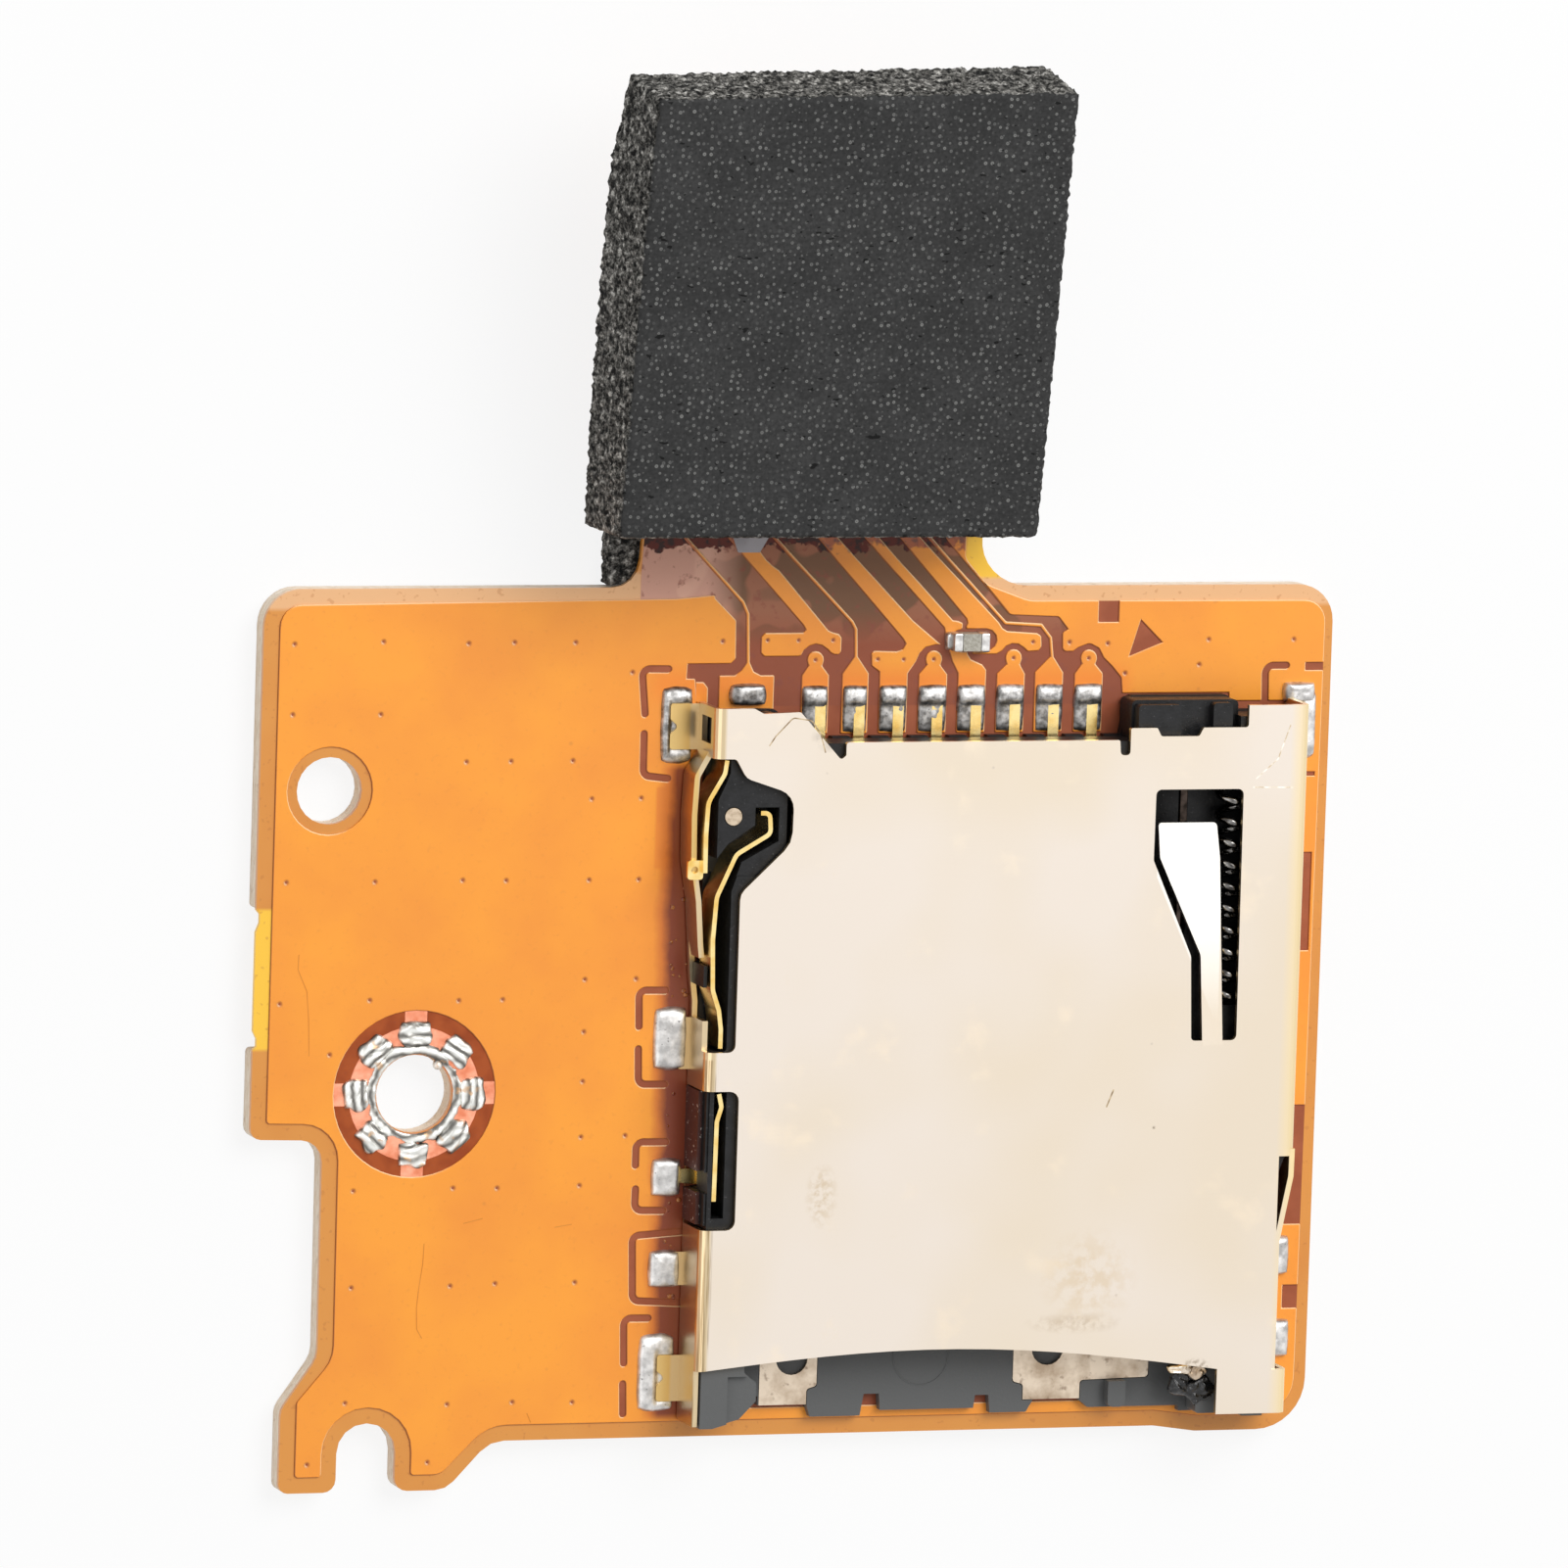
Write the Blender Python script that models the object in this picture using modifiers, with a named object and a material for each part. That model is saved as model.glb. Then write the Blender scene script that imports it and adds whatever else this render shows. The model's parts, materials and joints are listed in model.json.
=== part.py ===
# Memory card slot board: a flexible circuit on a stiffener, with a push-push card socket and a foam pad.
# All sizes below are millimetres, and MM turns them into Blender's metres.
# X runs across the card slot, Y from its entry towards the tail, and Z up from the stiffener's underside.
# The origin lies on that underside, below the middle of the contact row.

import math

import bmesh
import bpy
from mathutils import Matrix, Vector

MM = 0.001

# Driving sizes of the memory card and of the socket round it
card_width = 11.0
card_clearance = 0.1
contact_count = 8
contact_pitch = 1.1
sheet = 0.15
seat_gap = 0.02
side_gap = 0.05
left_rail = 1.21
lane_width = 3.0
right_rail = 1.0
socket_front = -13.1
socket_rear = 5.2
socket_height = 1.7
floor_thickness = 0.28

# Driving sizes of the board
flex_thickness = 0.15
stiffener_thickness = 0.54
margin_left = 12.09
margin_right = 1.15
margin_rear = 4.0
margin_front = 0.65
corner_radius = 1.0
front_corner_radius = 1.4

# Driving sizes of the tail and its foam
neck_left = -9.0
neck_right = 0.55
tail_end_overhang = 1.4
tail_slope = math.radians(11.6)
tail_bend_radius = 3.0
tail_bend_offset = 0.15
foam_length = 12.45
foam_skew = 0.32
foam_thickness = 3.15
foam_taper = 0.024
foam_overhang_left = 1.75
foam_overhang_right = 0.35

# Edges and levels worked out from the driving sizes
slot_left = -(card_width / 2 + card_clearance) - 0.25
slot_right = slot_left + card_width + 2 * card_clearance
base_left = slot_left - left_rail
lane_right = slot_right + lane_width
base_right = lane_right + right_rail
cover_left = base_left - side_gap - sheet
cover_right = base_right + side_gap + sheet
board_left = cover_left - margin_left
board_right = cover_right + margin_right
board_rear = socket_rear + margin_rear
board_front = socket_front - margin_front
flex_low = stiffener_thickness + 0.01
board_top = flex_low + flex_thickness
base_low = board_top + seat_gap
floor_top = base_low + floor_thickness
cover_top = board_top + socket_height
cover_under = cover_top - sheet
wall_top = cover_under - 2 * seat_gap
wall_low = board_top + 0.1
above_cover = cover_top + 0.5
pin_wire = 0.26
pin_level = cover_under - 0.33
below_pin = pin_level - pin_wire / 2 - seat_gap

# Arcs are drawn in steps of about this angle, and arcs of a large radius in half steps
arc_step = math.radians(24)
large_radius = 0.9


def clear_scene():
    for obj in list(bpy.data.objects):
        bpy.data.objects.remove(obj, do_unlink=True)


def new_collection(name):
    group = bpy.data.collections.new(name)
    bpy.context.scene.collection.children.link(group)
    return group


def make_material(name, colour, roughness, metallic=0.0):
    material = bpy.data.materials.new(name)
    material.use_nodes = True
    shader = material.node_tree.nodes["Principled BSDF"]
    shader.inputs["Base Color"].default_value = (*colour, 1.0)
    shader.inputs["Roughness"].default_value = roughness
    shader.inputs["Metallic"].default_value = metallic
    material.diffuse_color = (*colour, 1.0)
    return material


clear_scene()
parts = new_collection("memory_card_slot_board")
helpers = new_collection("cutters_and_joined_shapes")

polyimide = make_material("amber polyimide film", (0.85, 0.33, 0.04), 0.35)
glass_epoxy = make_material("pale glass epoxy", (0.80, 0.70, 0.52), 0.6)
foam = make_material("black foam", (0.03, 0.03, 0.03), 0.95)
tin_bronze = make_material("champagne plated bronze", (0.86, 0.72, 0.52), 0.3, 1.0)
gold_plate = make_material("gold plated contact", (0.95, 0.72, 0.30), 0.25, 1.0)
black_polymer = make_material("black liquid crystal polymer", (0.03, 0.03, 0.035), 0.5)
spring_steel = make_material("spring steel", (0.65, 0.65, 0.66), 0.3, 1.0)
solder = make_material("solder", (0.70, 0.71, 0.72), 0.35, 1.0)
ceramic = make_material("capacitor ceramic", (0.55, 0.40, 0.28), 0.5)


def fillet(corners, closed=True):
    """Turn (x, y, radius) corners into outline points, with each radius as an arc."""
    points = []
    count = len(corners)
    for i, (x, y, radius) in enumerate(corners):
        here = Vector((x, y))
        at_end = not closed and i in (0, count - 1)
        if radius == 0 or at_end:
            points.append(here)
            continue
        before = (Vector(corners[i - 1][:2]) - here).normalized()
        after = (Vector(corners[(i + 1) % count][:2]) - here).normalized()
        half = before.angle(after) / 2
        reach = radius / math.tan(half)
        centre = here + (before + after).normalized() * radius / math.sin(half)
        first = here + before * reach - centre
        last = here + after * reach - centre
        start = math.atan2(first.y, first.x)
        turn = (math.atan2(last.y, last.x) - start + math.pi) % (2 * math.pi) - math.pi
        step = arc_step / 2 if radius > large_radius else arc_step
        steps = max(2, math.ceil(abs(turn) / step))
        for k in range(steps + 1):
            angle = start + turn * k / steps
            points.append(centre + radius * Vector((math.cos(angle), math.sin(angle))))
    return points


def circle(x, y, radius, sides=24):
    angles = [2 * math.pi * k / sides for k in range(sides)]
    return [Vector((x + radius * math.cos(a), y + radius * math.sin(a))) for a in angles]


def rectangle(x0, x1, y0, y1, radius=0.0):
    return fillet([(x0, y0, radius), (x1, y0, radius), (x1, y1, radius), (x0, y1, radius)])


def add_object(name, mesh, material=None, group=parts):
    obj = bpy.data.objects.new(name, mesh)
    group.objects.link(obj)
    if material:
        mesh.materials.append(material)
    return obj


def finish_mesh(bm, name):
    """Write a mesh that was drawn in millimetres at its real size in metres."""
    bmesh.ops.recalc_face_normals(bm, faces=bm.faces)
    bmesh.ops.transform(bm, matrix=Matrix.Scale(MM, 4), verts=bm.verts)
    mesh = bpy.data.meshes.new(name)
    bm.to_mesh(mesh)
    bm.free()
    return mesh


def draw_plate(outline, low, high, holes=()):
    """A flat outline as a filled 2D curve, drawn in millimetres, because a curve's fill merges points
    that lie closer than 0.03 of a unit. It returns a welded bmesh."""
    curve = bpy.data.curves.new("outline", "CURVE")
    curve.dimensions = "2D"
    curve.fill_mode = "BOTH"
    curve.extrude = (high - low) / 2
    for loop in (outline, *holes):
        spline = curve.splines.new("POLY")
        spline.points.add(len(loop) - 1)
        for point, (x, y) in zip(spline.points, loop):
            point.co = (x, y, 0, 1)
        spline.use_cyclic_u = True
    drawn = bpy.data.objects.new("outline", curve)
    helpers.objects.link(drawn)
    graph = bpy.context.evaluated_depsgraph_get()
    mesh = bpy.data.meshes.new_from_object(drawn.evaluated_get(graph))
    bpy.data.objects.remove(drawn)
    bpy.data.curves.remove(curve)
    bm = bmesh.new()
    bm.from_mesh(mesh)
    bpy.data.meshes.remove(mesh)
    bmesh.ops.remove_doubles(bm, verts=bm.verts, dist=0.0005)
    bmesh.ops.translate(bm, verts=bm.verts, vec=(0, 0, (low + high) / 2))
    return bm


def plate(name, outline, low, high, material=None, holes=(), group=parts):
    return add_object(name, finish_mesh(draw_plate(outline, low, high, holes), name), material, group)


def strip(name, path, axis, start, end, thickness, material=None, group=parts):
    """A bent sheet: an open path, swept along one axis, that Solidify gives its thickness.
    The path's two numbers are the other two axes in order, and it runs along the sheet's middle."""
    bm = bmesh.new()
    order = {"X": (2, 0, 1), "Y": (0, 2, 1), "Z": (0, 1, 2)}[axis]
    sweep = Vector((0, 0, 0))
    sweep["XYZ".index(axis)] = end - start
    row = []
    for point in path:
        triple = (point[0], point[1], start)
        row.append(bm.verts.new([triple[k] for k in order]))
    edges = [bm.edges.new(pair) for pair in zip(row, row[1:])]
    made = bmesh.ops.extrude_edge_only(bm, edges=edges)
    moved = [item for item in made["geom"] if isinstance(item, bmesh.types.BMVert)]
    bmesh.ops.translate(bm, verts=moved, vec=sweep)
    obj = add_object(name, finish_mesh(bm, name), material, group)
    solid = obj.modifiers.new("Sheet", "SOLIDIFY")
    solid.thickness = thickness * MM
    solid.offset = 0
    solid.use_even_offset = True
    return obj


def prism(name, profile, axis, start, end, material=None, group=parts):
    """A closed profile pulled along one axis. Its two numbers are the other two axes in order."""
    bm = bmesh.new()
    order = {"X": (2, 0, 1), "Y": (0, 2, 1)}[axis]
    corners = []
    for point in profile:
        triple = (point[0], point[1], start)
        corners.append(bm.verts.new([triple[k] for k in order]))
    pull = Vector((0, 0, 0))
    pull["XYZ".index(axis)] = end - start
    made = bmesh.ops.extrude_face_region(bm, geom=[bm.faces.new(corners)])
    moved = [item for item in made["geom"] if isinstance(item, bmesh.types.BMVert)]
    bmesh.ops.translate(bm, verts=moved, vec=pull)
    bmesh.ops.triangulate(bm, faces=bm.faces)
    return add_object(name, finish_mesh(bm, name), material, group)


def combine(target, tool, operation):
    """Cut a shape out of the target or join it on, and leave the shape as a hidden helper."""
    for group in tool.users_collection:
        group.objects.unlink(tool)
    helpers.objects.link(tool)
    tool.hide_render = True
    tool.display_type = "WIRE"
    modifier = target.modifiers.new(tool.name, "BOOLEAN")
    modifier.operation = operation
    modifier.object = tool


def cut_plate(target, name, outline, low, high, holes=()):
    combine(target, plate(target.name + "_" + name, outline, low, high, holes=holes), "DIFFERENCE")


def join_plate(target, name, outline, low, high, holes=()):
    combine(target, plate(target.name + "_" + name, outline, low, high, holes=holes), "UNION")


def round_edges(obj, width, segments=2, angle=50):
    bevel = obj.modifiers.new("Rounded edges", "BEVEL")
    bevel.width = width * MM
    bevel.segments = segments
    bevel.limit_method = "ANGLE"
    bevel.angle_limit = math.radians(angle)


# Board outline, from the rear left corner anticlockwise seen from above
hook_left = board_left + 1.05
hook_neck = board_left + 2.0
step_y = board_rear - 14.7
hook_front = board_front - 1.3
slot_centre_x = board_left + 3.45
hook_slot_width = 1.64
prong_right = slot_centre_x + 2.35
locating_hole = (board_left + 1.92, board_rear - 5.38)
screw_hole = (board_left + 4.5, board_rear - 13.53)
locating_hole_radius = 0.9
screw_hole_radius = 1.05


def front_outline():
    """Left side, hook and front edge of the board, from the step on the left to the front right corner."""
    slot_left_x = slot_centre_x - hook_slot_width / 2
    slot_right_x = slot_centre_x + hook_slot_width / 2
    slot_top = board_front + 0.55
    return [
        (board_left, step_y, 0.3),
        (hook_neck, step_y - 0.05, 0.6),
        (hook_neck + 0.03, step_y - 5.9, 0.7),
        (hook_left, step_y - 7.3, 0.5),
        (hook_left, hook_front, 0.25),
        (slot_left_x, hook_front, 0.35),
        (slot_left_x, slot_top, 0.8),
        (slot_right_x, slot_top, 0.8),
        (slot_right_x, hook_front, 0.35),
        (prong_right - 0.1, hook_front, 0.7),
        (prong_right + 1.1, board_front, 0.9),
        (cover_right - 3.2, board_front, 0.8),
        (cover_right - 2.0, board_front - 0.17, 0.8),
        (board_right, board_front - 0.17, front_corner_radius),
    ]


def build_board():
    holes = [circle(*locating_hole, locating_hole_radius), circle(*screw_hole, screw_hole_radius, 32)]

    # The stiffener stops short along one stretch of the left edge, where the panel's tab was.
    recess = 0.6
    recess_rear = board_rear - 8.55
    recess_front = board_rear - 12.3
    stiffener_corners = [
        (board_left, board_rear, corner_radius),
        (board_left, recess_rear, 0.12),
        (board_left + recess, recess_rear, 0.3),
        (board_left + recess, recess_front, 0.3),
        (board_left, recess_front, 0.12),
        *front_outline(),
        (board_right, board_rear, corner_radius),
    ]
    plate("stiffener_plate", fillet(stiffener_corners), 0, stiffener_thickness, glass_epoxy, holes)

    # The film carries two small nicks where the tab was broken off, then the neck and the tail's wider end.
    nick = 0.1
    tail_flat_end = board_rear + 13.3
    flex_corners = [
        (board_left, board_rear, corner_radius),
        (board_left, recess_rear, 0),
        (board_left + nick, recess_rear - 0.12, 0),
        (board_left + nick, recess_rear - 0.35, 0),
        (board_left, recess_rear - 0.6, 0),
        (board_left, recess_front + 0.5, 0),
        (board_left + nick, recess_front + 0.3, 0),
        (board_left + nick, recess_front + 0.1, 0),
        (board_left, recess_front, 0),
        *front_outline(),
        (board_right, board_rear, corner_radius),
        (neck_right, board_rear, 1.4),
        (neck_right, board_rear + 3.2, 0.3),
        (neck_right + 0.15, board_rear + 3.5, 0.3),
        (neck_right + 0.15, tail_flat_end, 0.5),
        (neck_left - tail_end_overhang, tail_flat_end, 0.5),
        (neck_left - tail_end_overhang, board_rear + 3.3, 0.4),
        (neck_left, board_rear + 2.4, 0.5),
        (neck_left, board_rear, 0.75),
    ]
    bm = draw_plate(fillet(flex_corners), flex_low, board_top, holes)
    bend_tail(bm)
    add_object("flex_circuit", finish_mesh(bm, "flex_circuit"), polyimide)


bend_start = board_rear + tail_bend_offset
bend_length = tail_bend_radius * tail_slope
flex_middle = flex_low + flex_thickness / 2


def bend_tail(bm):
    """Curl the tail up round an arc, then let it run straight at the tail's slope."""
    steps = 4
    for k in range(steps + 1):
        y = bend_start + bend_length * k / steps
        geometry = bm.verts[:] + bm.edges[:] + bm.faces[:]
        bmesh.ops.bisect_plane(bm, geom=geometry, plane_co=(0, y, 0), plane_no=(0, 1, 0), dist=0.0005)
    for vert in bm.verts:
        along = vert.co.y - bend_start
        if along <= 0:
            continue
        height = vert.co.z - flex_middle
        angle = min(along, bend_length) / tail_bend_radius
        straight = max(0.0, along - bend_length)
        radius = tail_bend_radius - height
        vert.co.y = bend_start + radius * math.sin(angle) + straight * math.cos(angle)
        vert.co.z = flex_middle + tail_bend_radius - radius * math.cos(angle) + straight * math.sin(angle)


def make_tail_frame():
    """An empty where the tail's bend ends: its Y runs along the tail, and its Z away from the film."""
    frame = bpy.data.objects.new("tail_frame", None)
    parts.objects.link(frame)
    y = bend_start + tail_bend_radius * math.sin(tail_slope)
    z = flex_middle + tail_bend_radius * (1 - math.cos(tail_slope))
    frame.location = (0, y * MM, z * MM)
    frame.rotation_euler = (tail_slope, 0, 0)
    frame.empty_display_size = 2 * MM
    return frame


plug_width = 5.6
plug_depth = 3.2
plug_height = 0.85
plug_wall = 0.5
plug_pin_count = 6
plug_pin_pitch = 0.8
plug_pin_width = 0.28
plug_pin_sheet = 0.1


def build_tail():
    frame = make_tail_frame()
    film_top = flex_thickness / 2
    tail_left = neck_left - tail_end_overhang
    tail_right = neck_right + 0.15
    foam_start = 1.05

    # Stiffener between film and foam, with the small tab that shows at the foam's front edge
    tab = [(-6.45, 0.12), (-6.3, -0.22), (-5.6, -0.22), (-5.45, 0.12)]
    stiffener = [
        (tail_left + 0.2, 0.12),
        *tab,
        (tail_right - 0.2, 0.12),
        (tail_right - 0.2, foam_length - 0.25),
        (tail_left + 0.2, foam_length - 0.25),
    ]
    outline = [Vector((x, y + foam_start)) for x, y in stiffener]
    low = film_top + seat_gap
    high = low + 0.15
    piece = plate("tail_stiffener", outline, low, high, glass_epoxy)
    piece.parent = frame

    build_tail_foam(frame, high + seat_gap, foam_start)

    build_plug(frame, (tail_left + tail_right) / 2, 7.2)


def build_tail_foam(frame, low, start):
    """Foam pad cut a little out of square: its front end is upright, its left side bulges below a kink,
    and it's thinner towards its far end."""
    left = neck_left - foam_overhang_left
    right = neck_right + foam_overhang_right
    lean = foam_thickness * math.tan(tail_slope)
    end = start + foam_length
    back = [
        (left, start),
        (right, start),
        (right + 0.02, end + foam_skew),
        (left + 0.1, end),
        (left - 0.22, start + foam_length * 0.8),
        (left - 0.16, start + foam_length * 0.35),
    ]
    front = [
        (left, start + lean),
        (right, start + lean),
        (right, end + foam_skew + 0.1),
        (left + 0.05, end + 0.16),
        (left - 0.02, start + foam_length * 0.8),
        (left - 0.02, start + foam_length * 0.35),
    ]
    bm = bmesh.new()
    lower = [bm.verts.new((x, y, low)) for x, y in back]
    upper = [bm.verts.new((x, y, low + foam_thickness - (y - start) * foam_taper)) for x, y in front]
    count = len(lower)
    bm.faces.new(lower)
    bm.faces.new(upper)
    for k in range(count):
        following = (k + 1) % count
        bm.faces.new((lower[k], lower[following], upper[following], upper[k]))
    bmesh.ops.triangulate(bm, faces=bm.faces)
    pad = add_object("tail_foam_pad", finish_mesh(bm, "tail_foam_pad"), foam)
    pad.parent = frame
    round_edges(pad, 0.06, segments=1)


def build_plug(frame, centre_x, centre_y):
    """Plug under the tail: a tray with a rim, and two rows of pins folded over its long walls."""
    top = -flex_thickness / 2 - seat_gap
    low = top - plug_height
    x0 = centre_x - plug_width / 2
    x1 = centre_x + plug_width / 2
    y0 = centre_y - plug_depth / 2
    y1 = centre_y + plug_depth / 2
    housing = plate("plug_housing", rectangle(x0, x1, y0, y1, 0.2), low, top, black_polymer)
    housing.parent = frame
    inner = rectangle(x0 + plug_wall, x1 - plug_wall, y0 + plug_wall, y1 - plug_wall, 0.1)
    tray = plate("plug_housing_tray", inner, low - 0.1, top - 0.3)
    tray.parent = frame
    combine(housing, tray, "DIFFERENCE")
    island = rectangle(x0 + 0.9, x1 - 0.9, centre_y - 0.3, centre_y + 0.3)
    rib = plate("plug_housing_rib", island, low + 0.1, top - 0.2)
    rib.parent = frame
    combine(housing, rib, "UNION")

    # Each pin lies on the film, climbs the outside of the wall and folds over the rim.
    half = plug_pin_sheet / 2
    outside = seat_gap + half
    for row, side in (("front", -1), ("rear", 1)):
        wall = centre_y + side * plug_depth / 2
        path = [
            (wall + side * 0.6, top - half, 0),
            (wall + side * outside, top - half, 0.08),
            (wall + side * outside, low - outside, 0.08),
            (wall - side * 0.35, low - outside, 0),
        ]
        for i in range(plug_pin_count):
            x = centre_x + (i - (plug_pin_count - 1) / 2) * plug_pin_pitch
            pin = strip(
                f"plug_pin_{row}_{i + 1}",
                fillet(path, closed=False),
                "X",
                x - plug_pin_width / 2,
                x + plug_pin_width / 2,
                plug_pin_sheet,
                gold_plate,
            )
            pin.parent = frame


def build_neck_foam():
    """Thin foam that fills the wedge between the neck and whatever the board lies on."""
    left = neck_left - 0.85
    right = neck_right - 0.4
    rear = board_rear + 2.9
    slope = math.tan(tail_slope)
    bend_middle = bend_start + bend_length / 2
    profile = [
        (board_rear + 0.06, 0.0),
        (rear, 0.0),
        (rear, flex_low - seat_gap + (rear - bend_middle) * slope - 0.02),
        (bend_middle, flex_low - seat_gap - 0.01),
        (board_rear + 0.06, flex_low - seat_gap - 0.01),
    ]
    prism("neck_foam_pad", profile, "X", left, right, foam)


# Socket base
block_pin = (base_left + 0.43, 3.22)
block_pin_radius = 0.24
contact_slot = 0.6
contact_width = 0.3
contact_anchor = -1.6
block_right = slot_left + 0.72
block_front = 1.62
lane_rear = 4.35
cap_left = lane_right - 3.73
cap_right = lane_right - 0.63
cap_rear = socket_rear + 1.05
floor_front = socket_front
fork_front = floor_front + 0.2
left_fork = (-5.02, -3.68)
right_fork = (2.48, 4.45)
fork_arm_right = 6.05


def fork_outline(grow):
    """Outline of the floor plate, whose two legs reach the socket's front edge."""
    g = grow
    back = socket_front + 3.4
    return fillet(
        [
            (left_fork[0] - g, fork_front - g, 0),
            (left_fork[1] + g, fork_front - g, 0),
            (left_fork[1] + g, fork_front + 0.42 - g, 0.1),
            (left_fork[1] + 0.28 + g, fork_front + 0.5 - g, 0.1),
            (left_fork[1] + 0.28 + g, back - 1.4 - g, 0.15),
            (right_fork[0] - 0.3 - g, back - 1.4 - g, 0.15),
            (right_fork[0] - 0.3 - g, fork_front + 0.5 - g, 0.1),
            (right_fork[0] - g, fork_front + 0.42 - g, 0.1),
            (right_fork[0] - g, fork_front - g, 0),
            (right_fork[1] - 0.35 + g, fork_front - g, 0),
            (right_fork[1] - 0.35 + g, fork_front + 0.5 - g, 0.1),
            (fork_arm_right + g, fork_front + 0.55 - g, 0.1),
            (fork_arm_right + g, fork_front + 1.15 + g, 0.1),
            (right_fork[1] + 0.1 + g, fork_front + 1.15 + g, 0.2),
            (right_fork[1] + 0.1 + g, back + g, 0.2),
            (left_fork[0] - g, back + g, 0.2),
        ]
    )


def build_socket_base():
    """Black moulding: floor, side rails, corner block, rear wall and the cap behind the slider's lane."""
    tab = 0.14
    floor_corners = [
        (base_left, floor_front - 0.22, 0),
        (base_left + 1.2, floor_front - 0.02, 0),
        (base_left + 1.65, floor_front + 0.45, 0),
        (base_left + 2.0, floor_front + 0.45, 0),
        (base_left + 2.0, fork_front, 0),
        (left_fork[1], fork_front, 0),
        (left_fork[1] + 0.12, floor_front - tab, 0),
        (-2.15, floor_front - tab, 0),
        (-2.05, floor_front + 0.45, 0),
        (-1.62, floor_front + 0.45, 0),
        (-1.58, floor_front, 0),
        (1.08, floor_front, 0),
        (1.12, floor_front + 0.35, 0),
        (1.5, floor_front + 0.35, 0),
        (1.55, floor_front - tab, 0),
        (right_fork[0] + 0.1, floor_front - tab, 0),
        (right_fork[0] + 0.3, fork_front, 0),
        (right_fork[1] - 0.4, fork_front, 0),
        (right_fork[1] - 0.1, floor_front - 0.05, 0),
        (lane_right - 1.4, floor_front - 0.05, 0),
        (lane_right - 1.4, floor_front - 0.2, 0),
        (base_right - 0.4, floor_front - 0.2, 0),
        (base_right - 0.4, floor_front + 5.9, 0),
        (base_right, floor_front + 7.0, 0),
        (base_right, lane_rear + 1.5, 0.2),
        (cap_right, lane_rear + 1.5, 0),
        (cap_right, cap_rear, 0.15),
        (cap_left + 0.2, cap_rear, 0.15),
        (cap_left, socket_rear, 0),
        (base_left + 2.0, socket_rear, 0),
        (base_left + 2.0, socket_rear + 0.75, 0.2),
        (base_left, socket_rear + 0.75, 0.2),
    ]
    base = plate("socket_base", fillet(floor_corners), base_low, floor_top, black_polymer)
    join_left_rail(base)
    join_rear_walls(base)

    right_rail_corners = [
        (lane_right, floor_front - 0.17, 0),
        (base_right - 0.42, floor_front - 0.17, 0),
        (base_right - 0.42, floor_front + 5.9, 0),
        (base_right, floor_front + 7.0, 0),
        (base_right, lane_rear + 1.47, 0.2),
        (cap_right - 0.1, lane_rear + 1.47, 0),
        (cap_right - 0.1, lane_rear, 0),
        (lane_right, lane_rear, 0.1),
    ]
    join_plate(base, "right_rail", fillet(right_rail_corners), base_foot, wall_top)

    # Low guide ridge between the card and the slider at the socket's mouth
    ridge = rectangle(slot_right - 0.55, slot_right - 0.05, floor_front, floor_front + 1.2, 0.15)
    join_plate(base, "mouth_ridge", ridge, base_foot, floor_top + 0.35)

    # Each contact lies in its own slot, which runs from the rear edge to just past its tip.
    for i in range(contact_count):
        x = (i - (contact_count - 1) / 2) * contact_pitch
        half = contact_slot / 2
        slot = rectangle(x - half, x + half, contact_anchor - 0.25, socket_rear + 0.5)
        cut_plate(base, f"contact_slot_{i + 1}", slot, base_low - 0.2, floor_top + 0.12)

    # Pocket for the metal floor plate
    cut_plate(base, "floor_plate_pocket", fork_outline(seat_gap), floor_top - 0.14, floor_top + 0.5)


# Rails and walls start inside the floor, so that the joint is solid.
base_foot = base_low + 0.1
side_post_spans = ((-6.36, -4.2), (-7.8, -6.94))


def join_left_rail(base):
    """Left rail with its raised front block, and the posts that fill the cover's open side."""
    rail_inner = slot_left
    rail_corners = [
        (base_left, floor_front - 0.2, 0),
        (base_left + 0.35, floor_front - 0.2, 0),
        (base_left + 1.15, floor_front + 0.02, 0),
        (rail_inner + 0.4, floor_front + 0.5, 0),
        (rail_inner + 0.4, floor_front + 1.0, 0.1),
        (rail_inner, floor_front + 1.3, 0.1),
        (rail_inner, block_front, 0),
        (base_left + 0.42, block_front, 0.2),
        (base_left + 0.42, -3.1, 0.1),
        (base_left, -3.1, 0),
    ]
    join_plate(base, "left_rail", fillet(rail_corners), base_foot, wall_top)
    mouth_step = rectangle(base_left + 0.75, rail_inner + 0.8, floor_front - 0.4, floor_front + 1.2)
    cut_plate(base, "mouth_step", mouth_step, wall_top - 0.16, wall_top + 0.2)

    # Posts flush with the cover's wall, with their upper edge set back
    for number, (front, rear) in enumerate(side_post_spans, start=1):
        outline = rectangle(cover_left, base_left + 0.3, front, rear)
        join_plate(base, f"side_post_{number}", outline, base_low, wall_top - 0.35)
        outline = rectangle(cover_left + 0.13, base_left + 0.3, front, rear)
        join_plate(base, f"side_post_{number}_top", outline, base_foot, wall_top - 0.06)
    groove = rectangle(base_left + 0.12, base_left + 0.47, -7.6, -4.05)
    cut_plate(base, "spring_groove", groove, floor_top, wall_top + 1)

    # Block in the rear left corner, which carries a metal pin
    block_corners = [
        (base_left, block_front - 0.05, 0.3),
        (block_right - 0.9, block_front - 0.05, 0),
        (block_right, block_front + 0.75, 0.2),
        (block_right, socket_rear - 0.4, 0),
        (block_right - 0.4, socket_rear, 0),
        (base_left + 2.0, socket_rear + 0.72, 0.2),
        (base_left, socket_rear + 0.72, 0.2),
    ]
    join_plate(base, "corner_block", fillet(block_corners), base_foot, wall_top - 0.05)
    seat = circle(*block_pin, block_pin_radius + seat_gap)
    cut_plate(base, "pin_seat", seat, wall_top - 0.65, wall_top + 0.2)


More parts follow.
